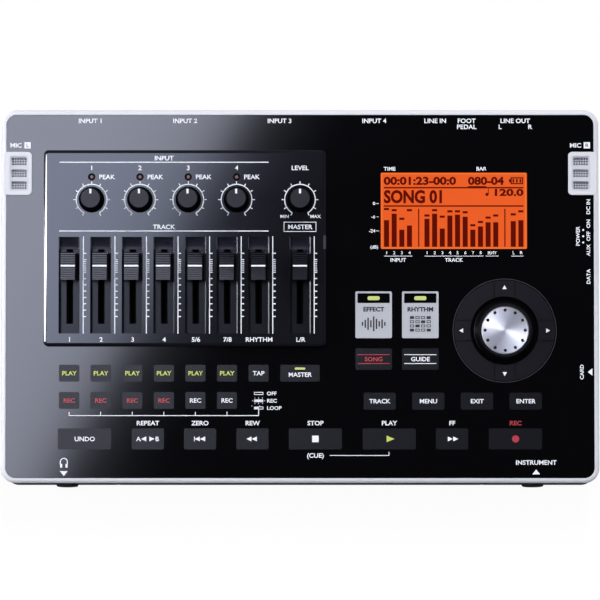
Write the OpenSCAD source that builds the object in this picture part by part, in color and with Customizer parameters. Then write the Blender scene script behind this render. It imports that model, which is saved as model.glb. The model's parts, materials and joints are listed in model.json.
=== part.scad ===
// Desktop digital multitrack recorder: a wedge-shaped case with a sloping control panel,
// slide faders, level knobs, a jog dial, touch keys, a display and jacks on three sides.
// X runs to the right, Y to the rear and Z up; the origin is on the table under the middle.

/* [Case] */
// Width across the silver rim
body_w = 257; // [254:1:270]
// Depth across the silver rim, measured along the panel
body_d = 160.5; // [159:0.5:172]
// Slope of the panel down to the front, in degrees
panel_slope = 5; // [4.5:0.25:5.5]
// Height of the panel's middle above the table
panel_mid_z = 30.5; // [30.5:0.5:36]
// Outer corner radius of the rim
rim_corner_r = 6.5; // [5:0.5:9]
// Width of the rim from above
rim_w = 2.1; // [1.6:0.1:2.4]
// Height of the rim's side, below the panel
rim_h = 7; // [6.5:0.25:7.5]
// Rise of the rim above the panel
rim_rise = 0.5; // [0.2:0.1:1]
// Radius that rounds the rim's top edge
rim_round_r = 1.6; // [0.8:0.1:1.8]
// Wall thickness of the lower case
case_wall = 2.2; // [1.8:0.1:2.4]
// Floor thickness of the lower case
floor_t = 2; // [2:0.1:2.4]
// Side set-back of the lower case under the rim
case_inset = 0.9; // [0.5:0.1:1.2]
// Overhang of the rim over the rear jack wall
rear_overhang = 7; // [6:0.5:8]
// Chamfer along the lower edge of the case
case_chamfer = 1.2; // [0.6:0.1:1.6]
// Height of the rubber feet
foot_h = 3; // [2.5:0.25:3]
// Diameter of the rubber feet
foot_d = 13; // [10:0.5:16]

/* [Panel] */
// Thickness of the gloss panel
panel_t = 2; // [1.8:0.1:2.2]
// Width of the ledge that carries the panel
ledge_w = 5; // [4.8:0.1:6]
// Depth of the pockets that hold the touch keys
key_t = 0.5; // [0.3:0.1:0.7]
// Corner radius of the touch keys
key_corner_r = 0.7; // [0.3:0.1:1.2]
// Centre distance of the track columns
track_pitch = 13.55; // [13.4:0.05:13.6]
// Width of the display window
display_w = 62.7; // [58:0.5:64]
// Depth of the display window
display_d = 32.7; // [29:0.5:34]
// Radius of the cursor pad ring
cursor_r = 21.7; // [20:0.1:22.5]

/* [Mixer] */
// Width of the raised mixer plate
mixer_w = 121.4; // [121:0.2:124]
// Depth of the raised mixer plate
mixer_d = 84.4; // [84:0.2:86]
// Rise of the mixer plate above the panel
mixer_rise = 2.5; // [2:0.1:3]
// Wall thickness of the mixer plate
mixer_t = 2; // [1.6:0.1:2]
// Width of a fader well
well_w = 8.2; // [8:0.1:9]
// Length of a fader well
well_l = 41.5; // [41:0.1:43]
// Depth of a fader well
well_depth = 5; // [4.6:0.1:5.2]
// Width of the slot in a fader well
slot_w = 2.9; // [2.2:0.1:3.4]
// Travel of a fader
fader_travel = 28; // [26:0.5:28]

/* [Controls] */
// Width of a fader cap
cap_w = 6; // [5.4:0.1:6.4]
// Length of a fader cap
cap_l = 11.9; // [11:0.1:12]
// Height of a fader cap's top above the mixer plate
cap_rise = 10; // [8:0.5:11]
// Radius of a level knob's skirt
knob_r = 5.5; // [5:0.1:6]
// Height of a level knob's top above the mixer plate
knob_rise = 10; // [8.5:0.5:11]
// Radius of the knob and encoder shafts
shaft_r = 3; // [2.8:0.1:3]
// Radius of the jog dial's skirt
dial_r = 13; // [12:0.1:13.6]
// Radius of the jog dial's metal cap
dial_cap_r = 10.2; // [9:0.1:10.6]
// Height of the jog dial's top above the panel
dial_rise = 4.8; // [4:0.1:6]

/* [Sockets] */
// Bore radius of the 6.35 mm jacks
phone_bore_r = 3.25; // [3.2:0.01:3.35]
// Bore radius of the 3.5 mm jack
mini_bore_r = 1.82; // [1.78:0.01:1.9]
// Outer radius of the line out barrels
phono_r = 4.15; // [4:0.05:4.3]
// Bore radius of the power inlet
dc_bore_r = 2.85; // [2.8:0.05:3]
// Radius of a combination input's nose
combo_r = 11; // [10.5:0.1:11]
// Length that the front jack collars stand out of the case
collar_out = 1.3; // [0.6:0.1:1.6]
// Length of the line out barrels
phono_out = 7.6; // [6:0.2:7.6]

/* [Battery bay and card] */
// Diameter of a battery cell
cell_d = 14.2; // [13.8:0.1:14.2]
// Length of a battery cell
cell_l = 50.2; // [49:0.1:50.5]
// Travel of the battery cover before it lifts off
cover_travel = 12; // [6:1:30]
// Width of the memory card
card_w = 24; // [20:0.5:24.4]
// Length of the memory card
card_l = 32; // [28:0.5:32.5]
// Thickness of the memory card
card_t = 2.1; // [1.4:0.1:2.1]

/* [Hidden] */
$fn = 64;

// Clearances
fit = 0.1;
running = 0.05;
gap = 0.3;
eps = 0.01;
big = 400;

// Case, in the table's frame
case_x = body_w / 2 - case_inset;
case_front = -(body_d / 2 * cos(panel_slope) - rim_h * sin(panel_slope)) + fit;
case_rear = body_d / 2 * cos(panel_slope) - rear_overhang;
case_corner_r = rim_corner_r - case_inset;
floor_z = foot_h + floor_t;
wall_in_x = case_x - case_wall;

// Panel, in the panel's own frame
panel_w = body_w - 2 * rim_w;
panel_d = body_d - 2 * rim_w;
panel_corner_r = rim_corner_r - rim_w;
ledge_t = 2;
ledge_z = -panel_t - ledge_t;
board_t = 1.6;
board_top = -10.4;
body_top = -4;

// Mixer plate, in the panel's own frame
mixer_left = -panel_w / 2 + 16.2;
mixer_right = mixer_left + mixer_w;
mixer_x = mixer_left + mixer_w / 2;
mixer_y = 20.6;
mixer_corner_r = 2;
mixer_round_r = 1.4;
lip_w = 2;
lip_t = 1.2;
track_margin = 11.1;
master_gap = 17.8;
master_margin = 11.2;
track_spread = (mixer_w - 6 * track_pitch) / (track_margin + master_gap + master_margin);
track_x0 = mixer_left + track_margin * track_spread;
master_x = mixer_right - master_margin * track_spread;
fader_x = [for (i = [0:6]) track_x0 + i * track_pitch, master_x];
well_y = mixer_y - 15.95;
well_wall = 1.2;
well_floor = mixer_rise - well_depth;
well_ramp = 5.2;
well_bevel = [0.4, 0.23];
slot_y = well_y - 0.4;
lever_l = 4;
lever_w = 1.2;
slot_l = fader_travel + lever_l + 2 * running;
fader_rest_y = well_y + 7.8;
fader_body_w = 8;
fader_body_l = 45;
knob_pitch = 20.75;
knob_x = [for (i = [0:3]) mixer_left + 20.7 + i * knob_pitch, master_x];
knob_y = mixer_y + 20.8;
lamp_y = mixer_y + 30.6;
lamp_r = 0.7;

// Display and jog dial, between the mixer plate and the right edge
right_mid = (mixer_right + panel_w / 2) / 2;
display_pos = [right_mid - 2.6, 36.8];
window_t = 1.2;
module_edge = 1.9;
module_t = 5;
dial_pos = [right_mid + 19.1, -14.8];
dial_well_r = dial_r + 1.4;
dial_well_depth = 1.3;
cursor_in_r = dial_well_r + 0.3;
cursor_split = 4.4;
cursor_gap = 0.35;

// Touch keys: column, row, width and depth
play_row = -33.1;
rec_row = -44.8;
transport_row = -61.3;
menu_row = -45.1;
mode_row = -8;
select_row = -27.05;
track_key = [8.6, 7.2];
wide_key = [22.8, 9];
narrow_key = [13.8, 9];
menu_key = [13.8, 7.3];
select_key = [15.7, 9.2];
master_key = [16.9, 7.2];
mode_plate = [15.7, 20.1];
mode_pitch = 20.05;
mode_lead = 0.6545;
mode_room = dial_pos[0] - cursor_r - mixer_right - mode_pitch - mode_plate[0];
mode_x0 = mixer_right + mode_lead * mode_room + mode_plate[0] / 2;
mode_x = [mode_x0, mode_x0 + mode_pitch];
transport_wide_x = [-92.4, 6.6, 38.3, 92.5];
transport_narrow_x = [-65.3, -42.9, -20.4, 65.3];
keys = concat(
    [for (i = [0:6]) [[track_x0 + i * track_pitch, play_row], track_key]],
    [for (i = [0:5]) [[track_x0 + i * track_pitch, rec_row], track_key]],
    [[[master_x, play_row], master_key]],
    [for (x = transport_wide_x) [[x, transport_row], wide_key]],
    [for (x = transport_narrow_x) [[x, transport_row], narrow_key]],
    [for (i = [0:3]) [[34.2 + i * 20.9, menu_row], menu_key]],
    [for (x = mode_x) [[x, select_row], select_key]]
);
mode_bar = [5.2, 1.7];
mode_bar_y = -0.85;
bar_corner_r = 0.7;
mode_strip = [13.9, 4.2];
master_bar = [4.5, 0.9];
master_bar_y = -31.1;

// Microphones, in the panel's own frame
mic_y = 52.85;
mic_plate_w = 11;
mic_plate_d = 18.5;
mic_plate_rise = 0.9;
mic_window = [6.8, 3.6];
mic_pitch = 5.15;
mic_x = panel_w / 2 - 5.55;
mic_skin = 1.5;
mesh_t = 0.4;
mesh_hole_r = 0.38;
mesh_pitch = 1.08;
capsule_r = 3;
capsule_t = 2.4;

// Rear wall
jack_z = 16.5;
line_out_x = [case_x - 41.5, case_x - 28.6];
pedal_x = case_x - 56;
line_in_x = case_x - 69.4;
input_first_x = -case_x + 37.4;
input_last_x = line_in_x - 26.25;
input_x = [for (i = [0:3]) input_first_x + i * (input_last_x - input_first_x) / 3];
combo_flange = [25, 22.4];
combo_flange_t = 2.5;
combo_room = 10.545;
combo_depth = case_rear - knob_y - combo_room;
phone_collar_r = 4.75;
phone_body = [15, 23, 11];
mini_collar_r = 3.6;
mini_body = [9, 13, 8];
phono_body = [11.6, 12, 12];

// Right wall, on the main board
board_z = foot_h + 5;
board_face = board_z + board_t;
board_x = body_w / 2 - 8.5;
board_rear = 44;
dc_y = 38.5;
dc_body = [14, 9, 11];
switch_off_y = 25.8;
switch_step = 2.7;
switch_body = [7, 14, 6.4];
switch_knob = [3.2, 3];
usb_y = 8.5;
usb_shell = [9, 7.7, 3.9];
usb_wall = 0.4;
card_y = case_front + 46.63;
socket_wall = 0.6;
card_z = board_face + socket_wall + fit + card_t / 2;
card_out = case_x + 0.7;
card_in = card_out - card_l;
card_margin = 5.4;
leg_front = card_y - card_w / 2 - card_margin;

// Screws and feet
screw_x = body_w / 2 - 8;
screw_y = [case_front + 23.2, -8, case_rear - 7];
post_r = 3.5;
screw_r = 1.45;
screw_head_r = 2.9;
screw_head_t = 1.2;
foot_x = body_w / 2 - 21.5;
foot_y = [case_front + 16.2, case_rear - 16];

// Battery bay
bay_wall = 1.5;
bay_side = 3;
contact_t = 0.5;
contact_gap = 2.4;
bay_half = 1.5 * cell_l + contact_t + contact_gap;
bay_front = case_front + 12.7;
cell_pitch = cell_d + 0.6;
bay_rear = bay_front + 2 * cell_pitch + 0.4;
bay_top = floor_z + cell_d + 0.4;
bay_lid_t = 1.2;
cover_rear = bay_rear - gap;
tongue_w = 1.3;
tongue_t = 0.9;
bay_out = bay_half + bay_side;

// Front jacks, between the battery bay and the corner screws
front_jack_x = (bay_out + screw_x - post_r) / 2 + 1.4;
front_jack_z = foot_h + 8;

// Main board behind the bay, with a leg under the card socket
board_front = bay_rear + 6.5;
leg_x0 = bay_out + 8.8;

// Places its children on the sloping panel
module on_panel() {
    translate([0, 0, panel_mid_z])
        rotate([panel_slope, 0, 0])
            children();
}

// Cuts away what lies above a plane parallel to the panel
module below_panel(height) {
    difference() {
        children();
        on_panel()
            translate([-big / 2, -big / 2, height])
                cube([big, big, big]);
    }
}

// Flat outline with round corners
module rounded_rect(size, r) {
    square([size[0] - 2 * r, size[1]], center = true);
    square([size[0], size[1] - 2 * r], center = true);
    for (sx = [-1, 1], sy = [-1, 1])
        translate([sx * (size[0] / 2 - r), sy * (size[1] / 2 - r)])
            circle(r);
}

// Upright slab with round corners, from one height to another
module slab(size, r, low, high) {
    translate([0, 0, low])
        linear_extrude(high - low)
            rounded_rect(size, r);
}

// Runs a profile round a rectangle; the profile's x is measured from the corner arc's centre
module sweep_rect(size, r) {
    half = [size[0] / 2 - r, size[1] / 2 - r];
    for (k = [0:3]) {
        side = k % 2;
        across = side == 0 ? half[0] : half[1];
        along = side == 0 ? half[1] : half[0];
        rotate(k * 90) {
            translate([across, 0, 0])
                rotate([90, 0, 0])
                    translate([0, 0, -along])
                        linear_extrude(2 * along)
                            children();
            translate([across, along, 0])
                rotate_extrude(angle = 90)
                    children();
        }
    }
}

// Points of a quarter round from the side to the top
function quarter_round(x, z, r, steps) =
    [for (i = [0:steps]) [x - r + r * cos(90 * i / steps), z - r + r * sin(90 * i / steps)]];

// Outline of the lower case, set in from its outside
module case_outline(inset) {
    depth = case_rear - case_front;
    translate([0, case_front + depth / 2])
        rounded_rect([2 * (case_x - inset), depth - 2 * inset], case_corner_r - inset);
}

module lower_case() {
    shelf_front = (case_rear - case_wall - rim_h * sin(panel_slope)) / cos(panel_slope) + fit;
    color([0.05, 0.05, 0.055]) difference() {
        union() {
            difference() {
                below_panel(-rim_h)
                    translate([0, 0, foot_h])
                        linear_extrude(2 * panel_mid_z)
                            case_outline(0);
                translate([0, 0, floor_z])
                    linear_extrude(2 * panel_mid_z)
                        case_outline(case_wall);
            }
            on_panel()
                intersection() {
                    slab([panel_w - 2 * fit, panel_d - 2 * fit], panel_corner_r - fit, -rim_h, ledge_z);
                    translate([-body_w / 2, shelf_front, -rim_h])
                        cube([body_w, body_d, rim_h]);
                }
            battery_bay();
            board_posts();
        }
        rear_holes();
        front_holes();
        side_holes();
        cover_slot();
        screw_holes();
        lower_edge();
    }
}

// Wedge that chamfers the lower edge of the case and its battery cover
module lower_edge() {
    depth = case_rear - case_front;
    r = case_corner_r;
    translate([0, case_front + depth / 2, foot_h])
        sweep_rect([2 * case_x, depth], r)
            polygon([[r - case_chamfer, -eps], [r + 1, -eps], [r + 1, case_chamfer + 1], [r, case_chamfer]]);
}

// Walls and roof of the battery bay
module battery_bay() {
    outer = 2 * bay_out;
    depth = bay_rear - bay_front;
    difference() {
        translate([-outer / 2, bay_front - bay_wall, floor_z - eps])
            cube([outer, depth + 2 * bay_wall, bay_top + bay_lid_t - floor_z]);
        translate([-bay_half, bay_front, 0])
            cube([2 * bay_half, depth, bay_top]);
    }
}

// Posts that carry the main board
module board_posts() {
    for (sx = [-1, 1], y = [board_front + 5, board_rear - 5])
        translate([sx * (board_x - 12), y, floor_z - eps])
            cylinder(r = 3, h = board_z - floor_z + eps);
}

module rear_holes() {
    translate([0, case_rear + eps, jack_z]) rotate([90, 0, 0]) {
        depth = case_wall + 2 * eps;
        for (x = input_x)
            translate([x, 0, 0]) cylinder(r = combo_r + fit, h = depth);
        translate([line_in_x, 0, 0]) cylinder(r = mini_collar_r + fit, h = depth);
        translate([pedal_x, 0, 0]) cylinder(r = phone_collar_r + fit, h = depth);
        for (x = line_out_x)
            translate([x, 0, 0]) cylinder(r = phono_r + 1 + fit, h = depth);
    }
}

module front_holes() {
    for (sx = [-1, 1])
        translate([sx * front_jack_x, case_front + case_wall + eps, front_jack_z])
            rotate([90, 0, 0])
                cylinder(r = phone_collar_r + fit, h = case_wall + 2 * eps);
}

module side_holes() {
    slot_half = switch_step + switch_knob[0] / 2 + gap;
    translate([wall_in_x - eps, 0, 0]) {
        depth = case_wall + 2 * eps;
        translate([0, dc_y, board_face + dc_body[2] / 2])
            rotate([0, 90, 0])
                cylinder(r = dc_bore_r + 1.2, h = depth);
        translate([0, switch_off_y - slot_half, board_face + switch_body[2] / 2 - switch_knob[1] / 2 - gap])
            cube([depth, 2 * slot_half, switch_knob[1] + 2 * gap]);
        translate([0, usb_y - usb_shell[1] / 2 - fit, board_face - fit])
            cube([depth, usb_shell[1] + 2 * fit, usb_shell[2] + 2 * fit]);
        translate([0, card_y - card_w / 2 - gap, card_z - card_t / 2 - gap])
            cube([depth, card_w + 2 * gap, card_t + 2 * gap]);
    }
}

// Opening in the floor for the battery cover, with grooves for its tongues
module cover_slot() {
    depth = bay_rear - case_front + 1;
    translate([-bay_half, case_front - 1, 0])
        cube([2 * bay_half, depth, floor_z + eps]);
    groove = bay_half + tongue_w + fit;
    translate([-groove, case_front - 1, floor_z - tongue_t - fit])
        cube([2 * groove, depth, tongue_t + 2 * fit]);
}

module screw_holes() {
    for (sx = [-1, 1], y = screw_y)
        translate([sx * screw_x, y, foot_h - eps]) {
            cylinder(r = screw_r + fit, h = floor_t + 2 * eps);
            cylinder(r = screw_head_r + fit, h = screw_head_t + eps);
        }
}

module silver_frame() {
    inner = rim_corner_r - rim_w;
    color([0.8, 0.81, 0.83]) difference() {
        union() {
            on_panel() {
                sweep_rect([body_w, body_d], rim_corner_r)
                    polygon(concat(
                        [[inner, -rim_h], [rim_corner_r, -rim_h]],
                        quarter_round(rim_corner_r, rim_rise, rim_round_r, 6),
                        [[inner, rim_rise]]
                    ));
                difference() {
                    slab([panel_w + rim_w, panel_d + rim_w], rim_corner_r - rim_w / 2, ledge_z, -panel_t);
                    slab([panel_w - 2 * ledge_w, panel_d - 2 * ledge_w], 2, ledge_z - 1, -panel_t + 1);
                }
                for (sx = [-1, 1])
                    translate([sx * (panel_w / 2 - mic_plate_w / 2 + rim_w / 4), mic_y, 0])
                        slab([mic_plate_w + rim_w / 2, mic_plate_d], 1.8, ledge_z, mic_plate_rise);
            }
            below_panel(ledge_z + ledge_t / 2)
                for (sx = [-1, 1], y = screw_y)
                    translate([sx * screw_x, y, floor_z])
                        cylinder(r = post_r, h = panel_mid_z);
        }
        on_panel()
            for (sx = [-1, 1])
                translate([sx * mic_x, mic_y, 0])
                    mic_openings();
        for (sx = [-1, 1], y = screw_y)
            translate([sx * screw_x, y, floor_z - eps])
                cylinder(r = screw_r + running, h = 9);
    }
}

// Tray, windows and rear pocket of one microphone plate
module mic_openings() {
    slab([mic_window[0] + 1.2, 2 * mic_pitch + mic_window[1] + 1.2], 1.2,
         mic_plate_rise - 0.4, mic_plate_rise + 1);
    for (k = [-1:1])
        translate([0, k * mic_pitch, 0])
            slab(mic_window, 0.9, -2, mic_plate_rise + 1);
    translate([-mic_window[0] / 2 - 0.8, -mic_plate_d / 2 + 1, ledge_z - 1])
        cube([mic_window[0] + 1.6, mic_plate_d - 2, mic_plate_rise - mic_skin - ledge_z + 1]);
}

module top_panel() {
    color([0.03, 0.03, 0.035]) on_panel() difference() {
        slab([panel_w - 2 * fit, panel_d - 2 * fit], panel_corner_r - fit, -panel_t, 0);
        translate([mixer_x, mixer_y, 0])
            slab([mixer_w + 2 * fit, mixer_d + 2 * fit], mixer_corner_r + fit, -panel_t - 1, 1);
        translate(display_pos)
            slab([display_w + 2 * fit, display_d + 2 * fit], 0.6, -panel_t - 1, 1);
        for (sx = [-1, 1])
            translate([sx * (panel_w / 2 - mic_plate_w / 2 + rim_w / 2), mic_y, 0])
                slab([mic_plate_w + rim_w + 2 * fit, mic_plate_d + 2 * fit], 1.8 + fit, -panel_t - 1, 1);
        for (k = keys)
            translate(k[0])
                slab(k[1] + 2 * fit * [1, 1], key_corner_r + fit, -key_t, 1);
        for (x = mode_x)
            translate([x, mode_row, 0])
                slab(mode_plate + 2 * fit * [1, 1], key_corner_r + fit, -key_t, 1);
        translate(dial_pos) {
            translate([0, 0, -dial_well_depth])
                cylinder(r = dial_well_r, h = dial_well_depth + 1);
            translate([0, 0, -panel_t - 1])
                cylinder(r = shaft_r + gap, h = panel_t + 2);
            translate([0, 0, -key_t])
                difference() {
                    cylinder(r = cursor_r + fit, h = 1);
                    translate([0, 0, -1])
                        cylinder(r = cursor_in_r - fit, h = 3);
                }
        }
    }
}

// Side view of a fader well: flat floor and a rear end that curves up
module well_profile() {
    front = -well_l / 2;
    rear = well_l / 2;
    steps = 6;
    polygon(concat(
        [[front, mixer_rise + 1], [front, well_floor]],
        [for (i = [0:steps])
            [rear - well_ramp + well_ramp * sin(90 * i / steps),
             well_floor + well_depth * (1 - cos(90 * i / steps))]],
        [[rear, mixer_rise + 1]]
    ));
}

// Bevels along both sides of a fader well
module well_bevels() {
    half = well_w / 2;
    rotate([90, 0, 0])
        translate([0, 0, -well_l / 2])
            linear_extrude(well_l)
                polygon([[-half - well_bevel[0], mixer_rise], [-half, mixer_rise - well_bevel[1]],
                         [half, mixer_rise - well_bevel[1]], [half + well_bevel[0], mixer_rise],
                         [half + well_bevel[0], mixer_rise + 1], [-half - well_bevel[0], mixer_rise + 1]]);
}

module mixer_panel() {
    r = mixer_corner_r;
    inside = [mixer_w - 2 * mixer_t, mixer_d - 2 * mixer_t];
    color([0.04, 0.04, 0.045]) on_panel() difference() {
        union() {
            translate([mixer_x, mixer_y, 0]) difference() {
                union() {
                    sweep_rect([mixer_w, mixer_d], r)
                        polygon(concat(
                            [[0, -panel_t], [r, -panel_t]],
                            quarter_round(r, mixer_rise, mixer_round_r, 5),
                            [[0, mixer_rise]]
                        ));
                    translate([-mixer_w / 2 + r, -mixer_d / 2 + r, -panel_t])
                        cube([mixer_w - 2 * r, mixer_d - 2 * r, panel_t + mixer_rise]);
                    slab([mixer_w + 2 * lip_w, mixer_d + 2 * lip_w], r, -panel_t - lip_t, -panel_t);
                }
                translate([-inside[0] / 2, -inside[1] / 2, -panel_t - lip_t - 1])
                    cube([inside[0], inside[1], panel_t + lip_t + 1 + mixer_rise - mixer_t]);
            }
            for (x = fader_x)
                translate([x - well_w / 2 - well_wall, well_y - well_l / 2 - well_wall, body_top])
                    cube([well_w + 2 * well_wall, well_l + 2 * well_wall, mixer_rise - mixer_t - body_top + eps]);
        }
        for (x = fader_x) {
            translate([x - well_w / 2, well_y, 0])
                rotate([90, 0, 90])
                    linear_extrude(well_w)
                        well_profile();
            translate([x, well_y, 0])
                well_bevels();
            translate([x - slot_w / 2, slot_y - slot_l / 2, body_top - 1])
                cube([slot_w, slot_l, well_depth]);
        }
        for (x = knob_x)
            translate([x, knob_y, 0])
                cylinder(r = shaft_r + gap, h = mixer_rise + 1);
        for (i = [0:3])
            translate([knob_x[i], lamp_y, 0]) {
                cylinder(r = lamp_r + running, h = mixer_rise + 1);
                translate([0, 0, mixer_rise - 0.5])
                    cylinder(r = 1.4, h = 1);
            }
    }
}

module display_window() {
    color([0.95, 0.45, 0.15, 0.6]) on_panel()
        translate(display_pos)
            slab([display_w, display_d], 0.5, -window_t, 0);
}

module display_module() {
    color([0.25, 0.26, 0.25]) on_panel() translate(display_pos) {
        slab([display_w + 2 * module_edge, display_d + 2 * module_edge], 0.8, -panel_t - module_t, -panel_t);
        slab([display_w - 2 * fit, display_d - 2 * fit], 0.5, -panel_t - eps, -window_t);
    }
}

module mic_meshes() {
    high = mic_plate_rise - mic_skin;
    size = [mic_window[0] + 1.2, 2 * mic_pitch + mic_window[1] + 1.2];
    columns = floor(mic_window[0] / mesh_pitch);
    rows = floor(mic_window[1] / mesh_pitch);
    color([0.55, 0.56, 0.58]) on_panel()
        for (sx = [-1, 1])
            translate([sx * mic_x, mic_y, high - mesh_t])
                difference() {
                    slab(size, 0.5, 0, mesh_t);
                    for (w = [-1:1], i = [0:columns - 1], j = [0:rows - 1])
                        translate([(i - (columns - 1) / 2) * mesh_pitch,
                                   w * mic_pitch + (j - (rows - 1) / 2) * mesh_pitch, -1])
                            cylinder(r = mesh_hole_r, h = mesh_t + 2);
                }
}

module mic_capsules() {
    high = mic_plate_rise - mic_skin - mesh_t;
    color([0.3, 0.3, 0.31]) on_panel()
        for (sx = [-1, 1])
            translate([sx * mic_x, mic_y, high - capsule_t])
                cylinder(r = capsule_r, h = capsule_t);
}

module main_board() {
    processor = [18, 18, 1.4];
    memory = [12, 9, 1.1];
    capacitor_r = 2.5;
    capacitor_h = 5;
    capacitor_pitch = 12;
    color([0.1, 0.35, 0.2]) translate([0, 0, board_z]) difference() {
        union() {
            translate([-board_x, board_front, 0])
                cube([2 * board_x, board_rear - board_front, board_t]);
            translate([leg_x0, leg_front, 0])
                cube([board_x - leg_x0, board_front - leg_front + eps, board_t]);
            translate([-board_x / 4, 0, board_t - eps])
                cube(processor);
            translate([memory[0], processor[1] / 3, board_t - eps])
                cube(memory);
            for (i = [0:4])
                translate([-board_x + 25 + i * capacitor_pitch, board_rear - 10, board_t - eps])
                    cylinder(r = capacitor_r, h = capacitor_h);
        }
        for (sx = [-1, 1], y = screw_y)
            translate([sx * screw_x, y, -1])
                cylinder(r = post_r + gap, h = board_t + 2);
    }
}

module panel_boards() {
    margin = 5.6;
    touch_t = 1.1;
    left = fader_x[0] - fader_body_w / 2 - margin;
    right = dial_pos[0] + 2 * margin;
    front = dial_pos[1] - 2 * margin;
    touch_half = panel_w / 2 - 4 * margin;
    touch_front = transport_row - margin;
    touch_rear = play_row + margin;
    color([0.1, 0.3, 0.18]) on_panel() {
        translate([left, front, board_top - board_t])
            cube([right - left, knob_y + margin - front, board_t]);
        translate([-touch_half, touch_front, -panel_t - touch_t])
            cube([2 * touch_half, touch_rear - touch_front, touch_t]);
    }
}

// Combination socket for a three-pin plug or a 6.35 mm plug; its mouth faces +Y
module combo_jack() {
    groove_out_r = combo_r - 1.4;
    groove_in_r = groove_out_r - 1.4;
    groove_l = 10;
    pin_ring_r = 5.8;
    pin_hole_r = 1.25;
    difference() {
        union() {
            rotate([90, 0, 0])
                cylinder(r = combo_r, h = case_wall + eps);
            translate([-combo_flange[0] / 2, -case_wall - combo_flange_t, -combo_flange[1] / 2])
                cube([combo_flange[0], combo_flange_t, combo_flange[1]]);
            translate([-combo_r, -combo_depth, -combo_r])
                cube([2 * combo_r, combo_depth - case_wall - combo_flange_t / 2, 2 * combo_r]);
        }
        rotate([90, 0, 0])
            translate([0, 0, -1]) {
                difference() {
                    cylinder(r = groove_out_r, h = groove_l + 1);
                    cylinder(r = groove_in_r, h = groove_l + 2);
                }
                cylinder(r = phone_bore_r, h = combo_depth - 1);
                for (a = [30, 150, 270])
                    rotate(a)
                        translate([pin_ring_r, 0, 0])
                            cylinder(r = pin_hole_r, h = groove_l + 3);
            }
    }
}

// Panel jack with a round collar and a box body behind the wall; its mouth faces +Y
module round_jack(collar_r, out, bore_r, body) {
    edge = 0.8;
    difference() {
        union() {
            rotate([-90, 0, 0])
                translate([0, 0, -case_wall - eps])
                    rotate_extrude()
                        polygon(concat(
                            [[0, 0], [collar_r, 0]],
                            quarter_round(collar_r, case_wall + out, edge, 4),
                            [[0, case_wall + out]]
                        ));
            translate([-body[0] / 2, -case_wall - body[1], -body[2] / 2])
                cube(body);
        }
        rotate([90, 0, 0])
            translate([0, 0, -out - 1])
                cylinder(r = bore_r, h = out + case_wall + body[1]);
    }
}

module input_jacks() {
    color([0.09, 0.09, 0.1])
        for (x = input_x)
            translate([x, case_rear, jack_z]) combo_jack();
}

module line_in_jack() {
    color([0.1, 0.1, 0.11])
        translate([line_in_x, case_rear, jack_z])
            round_jack(mini_collar_r, 0.8, mini_bore_r, mini_body);
}

module phone_jacks() {
    color([0.08, 0.08, 0.09]) {
        translate([pedal_x, case_rear, jack_z])
            round_jack(phone_collar_r, collar_out, phone_bore_r, phone_body);
        for (sx = [-1, 1])
            translate([sx * front_jack_x, case_front, front_jack_z])
                rotate(180)
                    round_jack(phone_collar_r, collar_out, phone_bore_r, phone_body);
    }
}

// Barrel sockets for the stereo line output, with a seat for the insulator at the end
module line_out_jacks() {
    pin_r = 1.65;
    seat_r = phono_r - 0.85;
    seat_depth = 0.4;
    color([0.75, 0.75, 0.77])
        for (x = line_out_x)
            translate([x, case_rear, jack_z]) difference() {
                union() {
                    rotate([-90, 0, 0])
                        translate([0, 0, -eps])
                            cylinder(r = phono_r, h = phono_out + eps);
                    rotate([90, 0, 0])
                        cylinder(r = phono_r + 1, h = case_wall + eps);
                    translate([-phono_body[0] / 2, -case_wall - phono_body[1], -phono_body[2] / 2])
                        cube(phono_body);
                }
                rotate([90, 0, 0])
                    translate([0, 0, -phono_out - 1]) {
                        cylinder(r = pin_r, h = phono_out + 9);
                        cylinder(r = seat_r, h = 1 + seat_depth);
                    }
            }
}

module dc_jack() {
    mid = board_face + dc_body[2] / 2;
    color([0.08, 0.08, 0.085]) translate([wall_in_x, dc_y, mid]) {
        difference() {
            translate([-dc_body[0], -dc_body[1] / 2, -dc_body[2] / 2])
                cube(dc_body);
            translate([-9.5, 0, 0])
                rotate([0, 90, 0])
                    cylinder(r = dc_bore_r, h = 10);
        }
        translate([-10, 0, 0])
            rotate([0, 90, 0])
                cylinder(r = 1, h = 9);
    }
}

module usb_port() {
    inner = usb_shell - 2 * usb_wall * [0, 1, 1];
    color([0.72, 0.73, 0.75])
        translate([case_x - 0.4 - usb_shell[0], usb_y - usb_shell[1] / 2, board_face])
            difference() {
                cube(usb_shell);
                translate([1, usb_wall, usb_wall])
                    cube(inner);
            }
}

module card_socket() {
    depth = wall_in_x - card_in + 2;
    wide = card_w + 4;
    tall = card_t + 2 * fit + 2 * socket_wall;
    color([0.7, 0.71, 0.73])
        translate([wall_in_x - depth, card_y - wide / 2, board_face])
            difference() {
                cube([depth, wide, tall]);
                translate([1.2, wide / 2 - card_w / 2 - fit, socket_wall])
                    cube([depth, card_w + 2 * fit, card_t + 2 * fit]);
            }
}

module power_switch_body() {
    slot_half = switch_step + switch_knob[0] / 2 + fit;
    color([0.6, 0.6, 0.62])
        translate([wall_in_x - 0.6 - switch_body[0], switch_off_y - switch_body[1] / 2, board_face])
            difference() {
                cube(switch_body);
                translate([2, switch_body[1] / 2 - slot_half, switch_body[2] / 2 - switch_knob[1] / 2 - fit])
                    cube([switch_body[0], 2 * slot_half, switch_knob[1] + 2 * fit]);
            }
}

module fader_bodies() {
    color([0.65, 0.66, 0.68]) on_panel()
        for (x = fader_x)
            translate([x, slot_y, board_top])
                difference() {
                    translate([-fader_body_w / 2, -fader_body_l / 2, 0])
                        cube([fader_body_w, fader_body_l, body_top - board_top]);
                    translate([-lever_w / 2 - fit, -slot_l / 2 - fit, 1.2])
                        cube([lever_w + 2 * fit, slot_l + 2 * fit, body_top - board_top]);
                }
}

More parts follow.
